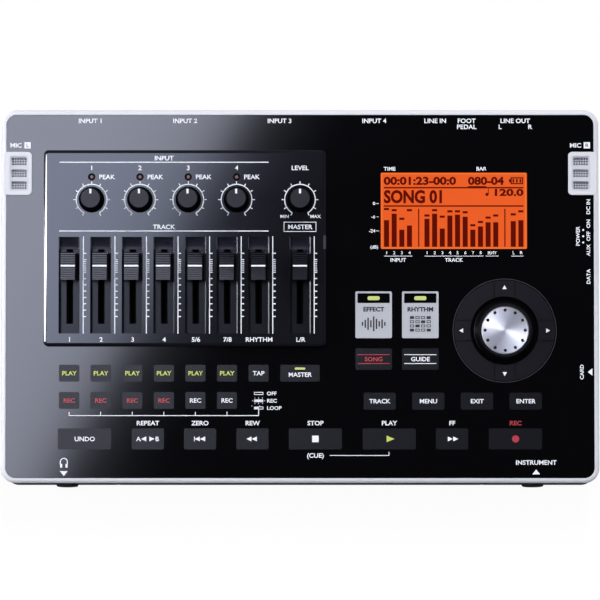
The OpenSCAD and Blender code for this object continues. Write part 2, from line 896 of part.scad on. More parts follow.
module pot_bodies() {
    side = 10.5;
    color([0.55, 0.56, 0.57]) on_panel()
        for (x = knob_x)
            translate([x, knob_y, board_top])
                difference() {
                    union() {
                        translate([-side / 2, -side / 2, 0])
                            cube([side, side, body_top - board_top]);
                        cylinder(r = shaft_r + 1.4, h = mixer_rise - mixer_t - board_top);
                    }
                    translate([0, 0, 1])
                        cylinder(r = shaft_r + running, h = big);
                }
}

module encoder_body() {
    side = 12;
    color([0.6, 0.6, 0.62]) on_panel()
        translate([dial_pos[0], dial_pos[1], board_top])
            difference() {
                union() {
                    translate([-side / 2, -side / 2, 0])
                        cube([side, side, body_top - board_top]);
                    cylinder(r = shaft_r + 1.4, h = -panel_t - board_top);
                }
                translate([0, 0, 1])
                    cylinder(r = shaft_r + running, h = big);
            }
}

// Eight flush pads: four arrows and the four corners between them
module cursor_pads() {
    color([0.1, 0.1, 0.11]) on_panel()
        translate([dial_pos[0], dial_pos[1], -key_t])
            difference() {
                cylinder(r = cursor_r, h = key_t);
                translate([0, 0, -1])
                    cylinder(r = cursor_in_r, h = key_t + 2);
                for (a = [0, 90], s = [-1, 1])
                    rotate(a)
                        translate([s * cursor_split - cursor_gap / 2, -cursor_r - 1, -1])
                            cube([cursor_gap, 2 * cursor_r + 2, key_t + 2]);
            }
}

module indicator_lamps() {
    plate_low = mixer_rise - mixer_t;
    color([0.75, 0.85, 0.2]) on_panel() {
        for (i = [0:3])
            translate([knob_x[i], lamp_y, plate_low]) {
                translate([0, 0, -1])
                    cylinder(r = lamp_r + 0.5, h = 1);
                translate([0, 0, -eps])
                    cylinder(r = lamp_r, h = mixer_t - 0.2);
            }
        for (x = mode_x)
            translate([x, mode_bar_y, 0])
                slab(mode_bar, bar_corner_r, -key_t, 0);
        translate([master_x, master_bar_y, 0])
            slab(master_bar, bar_corner_r / 2, -key_t, 0);
    }
}

module touch_keys() {
    color([0.16, 0.16, 0.17]) on_panel()
        difference() {
            for (k = keys)
                translate(k[0])
                    slab(k[1], key_corner_r, -key_t, 0);
            translate([master_x, master_bar_y, 0])
                slab(master_bar + 2 * running * [1, 1], bar_corner_r / 2 + running, -key_t - 1, 1);
        }
}

// Light plates of the two mode keys, each with a dark strip for its lamp
module mode_plates() {
    color([0.72, 0.74, 0.78]) on_panel()
        for (x = mode_x)
            difference() {
                translate([x, mode_row, 0])
                    slab(mode_plate, key_corner_r, -key_t, 0);
                translate([x, mode_bar_y, 0])
                    slab(mode_strip, 0.4, -key_t - 1, 1);
            }
}

module rubber_feet() {
    color([0.07, 0.07, 0.07])
        for (sx = [-1, 1], y = foot_y)
            translate([sx * foot_x, y, 0])
                rotate_extrude()
                    polygon([[0, 0], [foot_d / 2 - 1, 0], [foot_d / 2, 1], [foot_d / 2, foot_h], [0, foot_h]]);
}

module batteries() {
    nub_r = 2.7;
    nub_l = 1;
    color([0.75, 0.62, 0.35])
        for (row = [0, 1], k = [-1:1])
            translate([k * cell_l, bay_front + 0.2 + (row + 0.5) * cell_pitch, floor_z + fit + cell_d / 2])
                rotate([0, row == 0 ? 90 : -90, 0])
                    translate([0, 0, -cell_l / 2]) {
                        cylinder(r = cell_d / 2, h = cell_l - nub_l);
                        translate([0, 0, cell_l - nub_l - eps])
                            cylinder(r = nub_r, h = nub_l);
                    }
}

module battery_contacts() {
    plate = [11, 12];
    color([0.8, 0.8, 0.8])
        for (sx = [-1, 1], row = [0, 1])
            translate([sx * bay_half, bay_front + 0.2 + (row + 0.5) * cell_pitch, floor_z + fit + cell_d / 2])
                rotate([0, -90 * sx, 0]) {
                    translate([-plate[0] / 2, -plate[1] / 2, 0])
                        cube([plate[0], plate[1], contact_t]);
                    cylinder(r1 = plate[0] / 2 - 1, r2 = 2.6, h = contact_t + contact_gap - running);
                }
}

module case_screws() {
    slot = [3.4, 0.7];
    color([0.3, 0.3, 0.31])
        for (sx = [-1, 1], y = screw_y)
            translate([sx * screw_x, y, foot_h]) difference() {
                union() {
                    cylinder(r = screw_head_r, h = screw_head_t);
                    cylinder(r = screw_r, h = floor_t + 8);
                }
                for (a = [0, 90])
                    rotate(a)
                        translate([-slot[0] / 2, -slot[1] / 2, -1])
                            cube([slot[0], slot[1], 1.6]);
            }
}

module battery_cover() {
    half = bay_half - fit;
    depth = cover_rear - case_front;
    ribs = 5;
    color([0.05, 0.05, 0.055]) difference() {
        union() {
            translate([-half, case_front, foot_h])
                cube([2 * half, depth, floor_t]);
            translate([-half - tongue_w, case_front + gap, floor_z - tongue_t])
                cube([2 * (half + tongue_w), depth - gap, tongue_t]);
        }
        for (i = [0:ribs - 1])
            translate([-12, case_front + 6 + i * 1.8, foot_h - eps])
                cube([24, 0.9, 0.5]);
        lower_edge();
    }
}

// Switch lever with a grooved thumb face
module power_switch_knob() {
    mid = board_face + switch_body[2] / 2;
    back = wall_in_x - 0.6 - switch_body[0] + 2.2;
    front = case_x + 0.6;
    color([0.08, 0.08, 0.085])
        translate([0, switch_off_y + switch_step, mid])
            difference() {
                translate([back, -switch_knob[0] / 2, -switch_knob[1] / 2])
                    cube([front - back, switch_knob[0], switch_knob[1]]);
                for (k = [-1:1])
                    translate([front - 0.3, k - 0.2, -switch_knob[1]])
                        cube([1, 0.4, 2 * switch_knob[1]]);
            }
}

// Memory card with a cut corner and a finger ridge
module memory_card() {
    cut = 4;
    color([0.1, 0.12, 0.2])
        translate([card_in, card_y - card_w / 2, card_z - card_t / 2])
            difference() {
                linear_extrude(card_t)
                    polygon([[0, cut], [cut, 0], [card_l, 0], [card_l, card_w], [0, card_w]]);
                translate([card_l - 1.6, 2, card_t - 0.4])
                    cube([0.8, card_w - 4, 1]);
            }
}

module dial_skirt() {
    low = -dial_well_depth + gap;
    top = dial_rise - 0.6;
    lip_r = dial_cap_r + 1;
    color([0.05, 0.05, 0.055]) on_panel() translate(dial_pos) difference() {
        union() {
            rotate_extrude()
                polygon([[0, low], [dial_r, low], [dial_r, 0.9], [lip_r + 0.5, top - 0.5], [lip_r, top], [0, top]]);
            translate([0, 0, board_top + 1.2])
                cylinder(r = shaft_r, h = low - board_top - 1);
        }
        translate([0, 0, top - 1])
            cylinder(r = dial_cap_r + running, h = 2);
    }
}

// Turned metal cap with a ring of finger dimples
module dial_cap() {
    low = dial_rise - 1.6;
    dimples = 12;
    dimple_ring = dial_cap_r - 1.6;
    dimple_r = 1.1;
    dimple_depth = 0.3;
    color([0.8, 0.8, 0.81]) on_panel() translate(dial_pos) difference() {
        rotate_extrude()
            polygon([[0, low], [dial_cap_r, low], [dial_cap_r, dial_rise - 0.35], [dial_cap_r - 0.35, dial_rise],
                     [0, dial_rise]]);
        for (i = [0:dimples - 1])
            rotate(i * 360 / dimples)
                translate([dimple_ring, 0, dial_rise + dimple_r - dimple_depth])
                    sphere(r = dimple_r, $fn = 24);
    }
}

// Side view of a fader cap: slightly slanted ends and a grooved, hollowed top
module cap_side(low, high) {
    half = cap_l / 2;
    draft = 0.1;
    top_half = half - draft;
    hollow = 1.1;
    groove = 0.28;
    steps = 30;
    polygon(concat(
        [[-half, low], [half, low], [half, low + 2]],
        [for (i = [0:steps])
            let (y = top_half * (1 - 2 * i / steps))
            [y, high - hollow * (1 - pow(y / top_half, 2)) - (i % 2) * groove]],
        [[-half, low + 2]]
    ));
}

module fader_cap(x) {
    low = well_floor + 2.6;
    high = mixer_rise + cap_rise;
    flare = 0.7;
    color([0.07, 0.07, 0.075]) on_panel() translate([x, fader_rest_y, 0]) difference() {
        intersection() {
            rotate([90, 0, 90])
                translate([0, 0, -well_w / 2])
                    linear_extrude(well_w)
                        cap_side(low, high);
            rotate([90, 0, 0])
                translate([0, 0, -cap_l])
                    linear_extrude(2 * cap_l)
                        polygon([[-cap_w / 2 - flare, low], [cap_w / 2 + flare, low],
                                 [cap_w / 2, high], [-cap_w / 2, high]]);
        }
        translate([-lever_w / 2 - running, -lever_l / 2 - running, low - 1])
            cube([lever_w + 2 * running, lever_l + 2 * running, 6 + 1]);
    }
}

module fader_lever(x) {
    low = board_top + 1.6;
    high = well_floor + 2.6 + 6 - running;
    color([0.2, 0.2, 0.21]) on_panel()
        translate([x - lever_w / 2, fader_rest_y - lever_l / 2, low])
            cube([lever_w, lever_l, high - low]);
}

// Ribbed knob with a tapering side and a pointer notch
module knob(x) {
    low = mixer_rise + 0.4;
    high = mixer_rise + knob_rise;
    skirt_h = 1;
    grooves = 30;
    groove = [0.5, 0.45];
    foot_r = knob_r - 0.5;
    top_r = knob_r - 1.1;
    taper = atan((foot_r - top_r) / (high - low - skirt_h));
    pointer = [1.1, 2.2];
    color([0.09, 0.09, 0.095]) on_panel() translate([x, knob_y, 0]) difference() {
        rotate_extrude()
            polygon([[0, low], [knob_r, low], [knob_r, low + skirt_h], [foot_r, low + skirt_h],
                     [top_r, high - 0.4], [top_r - 0.4, high], [0, high]]);
        for (i = [0:grooves - 1])
            rotate(i * 360 / grooves)
                translate([foot_r - groove[1] / 2, -groove[0] / 2, low + skirt_h + 0.4])
                    rotate([0, -taper, 0])
                        cube([2, groove[0], knob_rise]);
        translate([-pointer[0] / 2, top_r - 0.3 - pointer[1], high - 0.3])
            cube([pointer[0], pointer[1] + 1, 1]);
        translate([0, 0, low - 1])
            cylinder(r = shaft_r + running, h = knob_rise - 2);
    }
}

module pot_shaft(x) {
    low = board_top + 1.2;
    high = mixer_rise + knob_rise - 2.8;
    color([0.5, 0.5, 0.52]) on_panel()
        translate([x, knob_y, low])
            cylinder(r = shaft_r, h = high - low);
}

lower_case();
silver_frame();
top_panel();
mixer_panel();
display_window();
display_module();
mic_meshes();
mic_capsules();
main_board();
panel_boards();
input_jacks();
line_in_jack();
phone_jacks();
line_out_jacks();
dc_jack();
usb_port();
card_socket();
power_switch_body();
fader_bodies();
pot_bodies();
encoder_body();
cursor_pads();
indicator_lamps();
touch_keys();
mode_plates();
rubber_feet();
batteries();
battery_contacts();
case_screws();
battery_cover();
power_switch_knob();
memory_card();
dial_skirt();
dial_cap();
for (i = [1:8])
    fader_cap(fader_x[i - 1]);
for (i = [1:8])
    fader_lever(fader_x[i - 1]);
for (i = [1:5])
    knob(knob_x[i - 1]);
for (i = [1:5])
    pot_shaft(knob_x[i - 1]);
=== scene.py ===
"""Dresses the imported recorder: finishes, prints, display, small trim and the studio."""
import json
import math

import bmesh
import bpy
from mathutils import Matrix, Vector


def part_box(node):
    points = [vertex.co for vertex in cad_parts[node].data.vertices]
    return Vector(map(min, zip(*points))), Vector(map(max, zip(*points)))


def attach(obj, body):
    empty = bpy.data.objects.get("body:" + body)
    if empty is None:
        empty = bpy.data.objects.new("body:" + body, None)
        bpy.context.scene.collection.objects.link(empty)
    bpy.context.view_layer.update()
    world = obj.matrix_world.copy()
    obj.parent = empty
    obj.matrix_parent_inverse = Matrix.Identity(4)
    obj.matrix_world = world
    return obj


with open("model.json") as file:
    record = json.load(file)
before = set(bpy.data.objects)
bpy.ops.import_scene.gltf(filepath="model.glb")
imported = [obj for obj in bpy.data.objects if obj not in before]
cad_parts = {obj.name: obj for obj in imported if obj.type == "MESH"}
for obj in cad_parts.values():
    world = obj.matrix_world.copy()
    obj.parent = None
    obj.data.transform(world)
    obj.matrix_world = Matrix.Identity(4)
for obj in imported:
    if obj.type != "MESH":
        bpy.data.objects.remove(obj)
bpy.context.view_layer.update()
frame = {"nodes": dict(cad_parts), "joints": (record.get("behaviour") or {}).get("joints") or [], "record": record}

MM = 0.001

# The panel's own frame, in millimetres: x to the right, y up the slope, z out of the panel
joints = {joint["name"]: joint for joint in frame["joints"]}
mounts = {mount["name"]: mount for mount in frame["record"]["mounts"]}
slide_axis = Vector(joints["fader_1_slide"]["axis"])
dial_at = Vector(joints["jog_dial_turn"]["pos_m"])
slope = math.atan2(slide_axis.z, slide_axis.y)
panel_middle = Vector((0, 0, dial_at.z - dial_at.y * math.tan(slope)))
panel_normal = Vector((0, -math.sin(slope), math.cos(slope)))
PANEL = Matrix.Translation(panel_middle) @ Matrix.Rotation(slope, 4, "X") @ Matrix.Scale(MM, 4)


def on_panel(point):
    """A point of the row frame in the panel's millimetres."""
    return PANEL.inverted() @ Vector(point)


def middle(node):
    """Middle of a CAD node's box, in the panel's millimetres."""
    low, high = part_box(node)
    return on_panel((low + high) / 2)


MIXER_RISE = 2.5
KNOB_TOP = 12.5
CAP_TOP = 12.5
DIAL_CAP_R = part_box("dial_cap")[1].x - dial_at.x
DIAL_TOP = on_panel(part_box("dial_cap")[1]).z
INPUTS = 4
FADERS = range(1, 9)
KNOBS = range(1, INPUTS + 2)
fader_x = [middle(f"fader_cap_{n}").x for n in FADERS]
FADER_REST_Y = middle("fader_cap_1").y
knob_at = [on_panel(joints[f"knob_{n}_turn"]["pos_m"]) for n in KNOBS]
dial_mm = on_panel(dial_at)
display_mm = middle("display_window")


class Value:
    """A shader socket that takes part in Python arithmetic."""

    def __init__(self, finish, socket):
        self.finish = finish
        self.socket = socket

    def math(self, operation, *others):
        sockets = {0: self, **dict(enumerate(others, 1))}
        return self.finish.node("ShaderNodeMath", {"operation": operation}, sockets)

    def __add__(self, other):
        return self.math("ADD", other)

    def __sub__(self, other):
        return self.math("SUBTRACT", other)

    def __mul__(self, other):
        return self.math("MULTIPLY", other)

    def __gt__(self, other):
        return self.math("GREATER_THAN", other)

    def __lt__(self, other):
        return self.math("LESS_THAN", other)

    def __rsub__(self, other):
        return self.finish.node("ShaderNodeMath", {"operation": "SUBTRACT"}, {0: other, 1: self})

    __radd__ = __add__
    __rmul__ = __mul__


class Finish:
    """A material or world whose nodes are made by one method."""

    def __init__(self, holder):
        self.holder = holder
        holder.use_nodes = True
        self.tree = holder.node_tree
        self.tree.nodes.clear()

    def node(self, kind, settings=None, sockets=None, output=0):
        made = self.tree.nodes.new(kind)
        for name, value in (settings or {}).items():
            if name == "stops":
                self.set_stops(made.color_ramp, value)
            else:
                setattr(made, name, value)
        for name, value in (sockets or {}).items():
            if isinstance(value, Value):
                self.tree.links.new(value.socket, made.inputs[name])
            else:
                made.inputs[name].default_value = value
        return Value(self, made.outputs[output]) if made.outputs else None

    @staticmethod
    def set_stops(ramp, stops):
        ramp.elements[0].position, ramp.elements[0].color = stops[0]
        ramp.elements[-1].position, ramp.elements[-1].color = stops[-1]
        for position, tint in stops[1:-1]:
            ramp.elements.new(position).color = tint

    def place(self):
        return self.node("ShaderNodeTexCoord", output="Object")

    def part_of(self, vector, name):
        return self.node("ShaderNodeSeparateXYZ", {}, {0: vector}, output=name)

    def axis(self, name):
        return self.part_of(self.place(), name)

    def vector(self, operation, *parts, output=0):
        return self.node("ShaderNodeVectorMath", {"operation": operation}, dict(enumerate(parts)), output)

    def dot(self, first, second):
        return self.vector("DOT_PRODUCT", first, second, output="Value")

    def from_middle(self, direction):
        """Distance from the panel's middle along a direction, in millimetres."""
        return self.dot(self.vector("SUBTRACT", self.place(), panel_middle), direction / MM)

    def height(self):
        return self.from_middle(panel_normal)

    def up_slope(self):
        return self.from_middle(slide_axis)

    def noise(self, scale, detail=2.0):
        sockets = {"Vector": self.place(), "Scale": scale, "Detail": detail}
        return self.node("ShaderNodeTexNoise", {}, sockets)

    def bump(self, height, distance):
        return self.node("ShaderNodeBump", {}, {"Height": height, "Distance": distance, "Strength": 1.0})

    def blend(self, factor, first, second):
        """The first colour where the factor is zero and the second where it is one."""
        sockets = {0: factor, 6: first, 7: second}
        return self.node("ShaderNodeMix", {"data_type": "RGBA"}, sockets, output=2)

    def shader(self, **sockets):
        named = {}
        for name, value in sockets.items():
            named[name.replace("_", " ").title().replace("Ior", "IOR")] = value
        return self.node("ShaderNodeBsdfPrincipled", {}, named)

    def matt(self, tint):
        return self.node("ShaderNodeBsdfDiffuse", {}, {"Color": tint})

    def glow(self, tint, strength):
        return self.node("ShaderNodeEmission", {}, {"Color": tint, "Strength": strength})

    def shown_as(self, shader):
        self.node("ShaderNodeOutputMaterial", {}, {"Surface": shader})
        return self.holder

    def surface(self, **sockets):
        return self.shown_as(self.shader(**sockets))

    def either(self, factor, first, second):
        """The first shader where the factor is zero and the second where it is one."""
        return self.shown_as(self.node("ShaderNodeMixShader", {}, {0: factor, 1: first, 2: second}))


def finish(name):
    return Finish(bpy.data.materials.new(name))


def color(red, green, blue):
    """An sRGB colour out of 255 as the shader's linear colour."""
    def linear(level):
        level /= 255
        return level / 12.92 if level <= 0.04045 else ((level + 0.055) / 1.055) ** 2.4
    return (linear(red), linear(green), linear(blue), 1.0)


def grey(level):
    return (level, level, level, 1.0)


def wander(value, spread, noise):
    """A value that varies about its middle with a noise."""
    return value + spread * (noise - 0.5)


BLACK = grey(0.0)
WHITE = grey(1.0)
METAL_GRAIN = 600.0
METAL_SPREAD = 0.12


def grained(name, tint, roughness, grain_per_m, depth, sheen=0.5):
    """Moulded plastic with a fine surface grain."""
    made = finish(name)
    spread = 0.1
    grain = made.noise(grain_per_m)
    return made.surface(
        base_color=tint, roughness=wander(roughness, spread, grain), specular_ior_level=sheen,
        normal=made.bump(grain, depth))


def polished(name, tint, roughness):
    """Polished plastic with faint wipe marks in its gloss."""
    made = finish(name)
    marks_per_m, detail, spread = 45.0, 4.0, 0.03
    return made.surface(
        base_color=tint, roughness=wander(roughness, spread, made.noise(marks_per_m, detail)))


def sheet_metal(name, tint, roughness, metallic=1.0):
    """Plain or painted metal with a slightly uneven gloss."""
    made = finish(name)
    gloss = wander(roughness, METAL_SPREAD, made.noise(METAL_GRAIN))
    return made.surface(base_color=tint, metallic=metallic, roughness=gloss)


def ink(name, tint, sheen=0.5):
    return finish(name).surface(base_color=tint, roughness=0.5, specular_ior_level=sheen)


def lit(name, tint, strength):
    """Ink with a lamp behind it."""
    return finish(name).surface(
        base_color=tint, roughness=0.4, emission_color=tint, emission_strength=strength)


def shown(name, tint):
    """Part of the display that shows in its own light only."""
    return finish(name).surface(
        base_color=BLACK, specular_ior_level=0.0, emission_color=tint, emission_strength=1.0)


def silver_paint():
    """Pale paint with painted shade: greyer in the shallow trays round the microphone meshes."""
    made = finish("silver_paint")
    mic_x, mic_y, tray_wide, tray_deep, tray_top = 120.85, 52.85, 8.0, 15.1, 0.7
    beside = (made.axis("X").math("ABSOLUTE") - mic_x * MM).math("ABSOLUTE") < tray_wide / 2 * MM
    along = (made.up_slope() - mic_y).math("ABSOLUTE") < tray_deep / 2
    # Painted shade: the tray floors get a greyer colour for the shade that falls in them.
    tray = beside * along * (made.height() < tray_top)
    return made.surface(
        base_color=made.blend(tray, color(208, 209, 213), color(193, 194, 201)),
        roughness=wander(0.45, METAL_SPREAD, made.noise(METAL_GRAIN)))


def mixer_black():
    """Satin plate with a glossy left edge and duller wells, with a painted reflection making them paler at their
    rear ends.
    """
    made = finish("mixer_black")
    hidden_lip, rounding, just_below = 2.0, 1.38, 0.03
    ramp_start, ramp_end = 20.2, 26.0
    black, cool = color(20, 20, 25), (0.88, 0.93, 1.0, 1.0)
    left_edge = made.axis("X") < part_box("mixer_panel")[0].x + (hidden_lip + rounding) * MM
    well = (made.height() < MIXER_RISE - just_below) * (1.0 - left_edge)
    up = made.up_slope()
    # Painted reflection: the wells' rear ramps get a paler colour for the light they reflect.
    ramp = (up > ramp_start) * (up < ramp_end)
    plate = made.shader(
        base_color=black, roughness=0.07, specular_ior_level=0.41, specular_tint=cool,
        coat_weight=left_edge, coat_roughness=0.08)
    inside = made.shader(
        base_color=made.blend(ramp, black, color(66, 66, 76)), roughness=0.18,
        specular_ior_level=0.17, specular_tint=cool)
    return made.either(well, plate, inside)


def knob_plastic():
    """Satin knob top over ribbed sides in painted shade: dull black and without gloss."""
    made = finish("knob_plastic")
    rounding = 0.36
    top = made.shader(base_color=color(20, 21, 26), roughness=0.27, specular_ior_level=0.2)
    # Painted shade: below the top's rounding the knob takes a darker matt black with no gloss.
    return made.either(made.height() < KNOB_TOP - rounding, top, made.matt(color(10, 10, 12)))


def fader_plastic():
    """Satin plastic with ribs that are too fine to break up its sheen, and painted shade in its grooves, clearer
    on the rear half.
    """
    made = finish("fader_plastic")
    pitch, groove_from, lean, evening = 0.78, 0.35, 0.022, 8.0
    front_shade, upward_from = 0.3, 0.5
    along = made.up_slope() - FADER_REST_Y
    grooved = (along * (math.tau / pitch)).math("COSINE") > groove_from
    normal = made.node("ShaderNodeNewGeometry", output="Normal")
    upward = made.dot(normal, panel_normal) > upward_from
    sockets = {0: panel_normal + Vector((lean, 0, 0)), "Scale": evening * upward}
    lift = made.node("ShaderNodeVectorMath", {"operation": "SCALE"}, sockets)
    evened = made.vector("NORMALIZE", made.vector("ADD", normal, lift))
    # Painted shade: dark stripes along the grooves, weaker on the front half.
    shade = grooved * upward * (front_shade + (1 - front_shade) * (along > 0.0))
    return made.surface(
        base_color=made.blend(shade, color(33, 34, 40), color(9, 9, 11)), roughness=0.08,
        specular_ior_level=0.32, normal=evened)


def turned_face():
    """Turned aluminium with painted shade darkening its finger dimples."""
    made = finish("dial_metal")
    just_below, chamfer, rings_per_m, ring_spread = 0.03, 0.5, 9000.0, 0.02
    dimple_dullness = 0.6
    offset = made.vector("SUBTRACT", made.place(), dial_at)
    radius = made.vector("LENGTH", made.vector("CROSS_PRODUCT", offset, panel_normal), output="Value")
    # Painted shade: the dimples get a dark, less metallic colour.
    dimple = (made.height() < DIAL_TOP - just_below) * (radius < DIAL_CAP_R - chamfer * MM)
    rings = (radius * rings_per_m).math("SINE")
    return made.surface(
        base_color=made.blend(dimple, color(230, 230, 234), color(18, 18, 22)),
        metallic=1.0 - dimple_dullness * dimple, roughness=0.46 + ring_spread * rings,
        anisotropic=0.72, anisotropic_rotation=0.31)


def lamp_lens():
    """Dark red peak lamps at the rear, lit yellow-green bars in front of them."""
    made = finish("lamp_lens")
    split_y = 0.03
    lime_lens = color(172, 184, 104)
    peak = made.axis("Y") > split_y
    return made.surface(
        base_color=made.blend(peak, lime_lens, color(104, 52, 58)), roughness=0.3,
        emission_color=made.blend(peak, lime_lens, BLACK), emission_strength=0.3)


def circuit_board():
    """Green board with a faint pattern of tracks."""
    made = finish("circuit_board")
    tracks_per_m, track_from = 900.0, 0.56
    tracks = made.noise(tracks_per_m, 1.0) > track_from
    return made.surface(base_color=made.blend(tracks, color(20, 74, 46), color(34, 100, 62)), roughness=0.4)


# Plastics take a roughness, grains to the metre, a grain depth in metres and a sheen
finishes = {
    "case_plastic": grained("case_plastic", color(20, 20, 22), 0.6, 3500.0, 0.00002, 0.15),
    "silver_paint": silver_paint(),
    "gloss_black": polished("gloss_black", color(6, 6, 8), 0.05),
    "mixer_black": mixer_black(),
    "display_glass": finish("display_glass").surface(base_color=BLACK, roughness=0.05, alpha=0.06),
    "display_cell": shown("display_cell", color(245, 99, 42)),
    "mic_steel": sheet_metal("mic_steel", color(184, 185, 192), 0.5, 0.0),
    "capsule_metal": sheet_metal("capsule_metal", color(20, 20, 22), 0.7, 0.0),
    "circuit_board": circuit_board(),
    "jack_plastic": grained("jack_plastic", color(20, 20, 22), 0.45, 5000.0, 0.00001),
    "jack_chrome": sheet_metal("jack_chrome", color(205, 205, 210), 0.16),
    "shell_steel": sheet_metal("shell_steel", color(190, 192, 196), 0.3),
    "lamp_lens": lamp_lens(),
    "key_matte": grained("key_matte", color(17, 17, 21), 0.25, 6000.0, 0.000004, 0.24),
    "mode_silver": grained("mode_silver", color(176, 178, 184), 0.5, 4000.0, 0.000006, 0.3),
    "foot_rubber": grained("foot_rubber", color(24, 24, 24), 0.8, 2500.0, 0.00003),
    "cell_wrap": sheet_metal("cell_wrap", color(176, 142, 74), 0.35, 0.6),
    "screw_steel": sheet_metal("screw_steel", color(60, 60, 64), 0.35),
    "card_plastic": grained("card_plastic", color(26, 32, 58), 0.5, 4000.0, 0.00001),
    "cap_plastic": grained("cap_plastic", color(30, 31, 35), 0.5, 5000.0, 0.00001),
    "dial_metal": turned_face(),
}
own_finishes = {
    # Fader bodies finished near black and dull, so their tops show black through the slots.
    "fader_bodies": grained("fader_body_black", color(8, 8, 9), 0.8, 3000.0, 0.00002, 0.05),
    "dial_skirt": grained("skirt_black", color(5, 5, 7), 0.3, 5000.0, 0.000005, 0.22),
    "cursor_pads": grained("pad_matte", color(20, 19, 24), 0.25, 6000.0, 0.000004, 0.22),
    **dict.fromkeys((f"fader_cap_{n}" for n in FADERS), fader_plastic()),
    **dict.fromkeys((f"knob_{n}" for n in KNOBS), knob_plastic()),
}
for part in frame["record"]["subparts"]:
    mesh = frame["nodes"][part["node"]].data
    mesh.materials.clear()
    mesh.materials.append(own_finishes.get(part["node"], finishes[part["material_slot"]]))

white_ink = ink("white_ink", color(234, 236, 241))
grey_ink = ink("grey_ink", color(31, 31, 37))
dark_ink = ink("dark_ink", color(26, 26, 32))
lime_ink = lit("lime_ink", color(176, 184, 76), 0.25)
red_ink = lit("red_ink", color(160, 42, 50), 0.2)
# Painted shade: near-black ink for rings in and round the peak lamps' recesses and for bars over the cursor pads'
# gaps.
shade_black = ink("shade_black", color(12, 9, 11), 0.05)
display_ink = shown("display_ink", color(97, 17, 7))
display_edge = shown("display_edge", color(252, 122, 52))
red_insulator = ink("red_insulator", color(170, 26, 28))
white_insulator = ink("white_insulator", color(222, 222, 218))


def meshed(name, shape, material):
    """Makes a scene object of a finished bmesh."""
    mesh = bpy.data.meshes.new(name)
    shape.to_mesh(mesh)
    shape.free()
    mesh.materials.append(material)
    made = bpy.data.objects.new(name, mesh)
    bpy.context.scene.collection.objects.link(made)
    return made


def piece(name, shape, material, body):
    """Makes a flat-shaded piece of a bmesh in row metres and hangs it on a body."""
    bmesh.ops.recalc_face_normals(shape, faces=shape.faces)
    made = meshed(name, shape, material)
    made.data.shade_flat()
    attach(made, body)


def spin_section(shape, corners, place, centre, angle, steps):
    """Turns a four-cornered section of radii and heights about the Z axis at a centre."""
    verts = [shape.verts.new(place @ Vector((r, 0, z))) for r, z in corners]
    edges = [shape.edges.new((verts[k - 1], verts[k])) for k in range(len(verts))]
    full = abs(angle) >= math.tau
    swept = bmesh.ops.spin(
        shape, geom=verts + edges, cent=centre, axis=(0, 0, 1), angle=angle, steps=steps, use_merge=full)
    if not full:
        shape.faces.new(verts)
        shape.faces.new([v for v in swept["geom_last"] if isinstance(v, bmesh.types.BMVert)])


INK = 0.05
CAP_SHARE = 0.7
BOLD = 0.02
HEAVY = 0.04
SIDES = (-1, 1)


class Print:
    """Thin ink shapes gathered into one piece; places and sizes in the panel's millimetres."""

    def __init__(self, name, material, level=0.0, body="chassis"):
        self.name = name
        self.material = material
        self.body = body
        self.level = level
        self.shape = bmesh.new()

    def at(self, x, y, turn=0.0):
        return Matrix.Translation((x, y, self.level)) @ Matrix.Rotation(math.radians(turn), 4, "Z")

    def bar(self, x, y, width, depth, turn=0.0, thick=2 * INK):
        size = Matrix.Diagonal((width, depth, thick, 1))
        bmesh.ops.create_cube(self.shape, size=1, matrix=self.at(x, y, turn) @ size)

    def prism(self, sides, radius, place):
        bmesh.ops.create_cone(
            self.shape, cap_ends=True, segments=sides, radius1=radius, radius2=radius, depth=2 * INK,
            matrix=place)

    def disc(self, x, y, radius, sides=24):
        self.prism(sides, radius, self.at(x, y))

    def arrow(self, x, y, length, width, turn=0.0):
        """Triangle that points along +X before its turn."""
        unit_long, unit_wide = 1.5, math.sqrt(3)
        fit = Matrix.Diagonal((length / unit_long, width / unit_wide, 1, 1))
        self.prism(3, 1.0, self.at(x, y, turn) @ fit @ Matrix.Rotation(math.radians(-90), 4, "Z"))

    def outline(self, x, y, width, depth, line):
        for side in SIDES:
            self.bar(x, y + side * (depth - line) / 2, width, line)
            self.bar(x + side * (width - line) / 2, y, line, depth)

    def arc(self, x, y, radius, line, start, end, steps=40):
        """Ring stretch from one angle to another, in degrees from +X."""
        inner, outer = radius - line / 2, radius + line / 2
        corners = ((inner, -INK), (outer, -INK), (outer, INK), (inner, INK))
        angle = math.radians(end - start)
        spin_section(self.shape, corners, self.at(x, y, start), (x, y, self.level), angle, steps)

    def words(self, text, x, y, height, turn=0.0, align="CENTER", stretch=1.08, bold=BOLD):
        """Letters with capitals of that height, centred on their place."""
        curve = bpy.data.curves.new("letters", "FONT")
        curve.body = text
        curve.size = height / CAP_SHARE
        curve.align_x = align
        curve.extrude = INK
        curve.offset = bold * curve.size
        curve.resolution_u = 3
        holder = bpy.data.objects.new("letters", curve)
        bpy.context.scene.collection.objects.link(holder)
        bpy.context.view_layer.update()
        shaped = holder.evaluated_get(bpy.context.evaluated_depsgraph_get())
        letters = bpy.data.meshes.new_from_object(shaped)
        drop = Matrix.Translation((0, -height / 2, 0))
        letters.transform(self.at(x, y, turn) @ Matrix.Diagonal((stretch, 1, 1, 1)) @ drop)
        self.shape.from_mesh(letters)
        bpy.data.meshes.remove(letters)
        bpy.data.objects.remove(holder)
        bpy.data.curves.remove(curve)

    def done(self):
        bmesh.ops.transform(self.shape, matrix=PANEL, verts=self.shape.verts)
        piece(self.name, self.shape, self.material, self.body)


# Letter heights
LABEL = 1.88
SMALL = 1.55
TINY = 1.35
METER_LETTER = 1.3
KEY_LETTER = 1.8

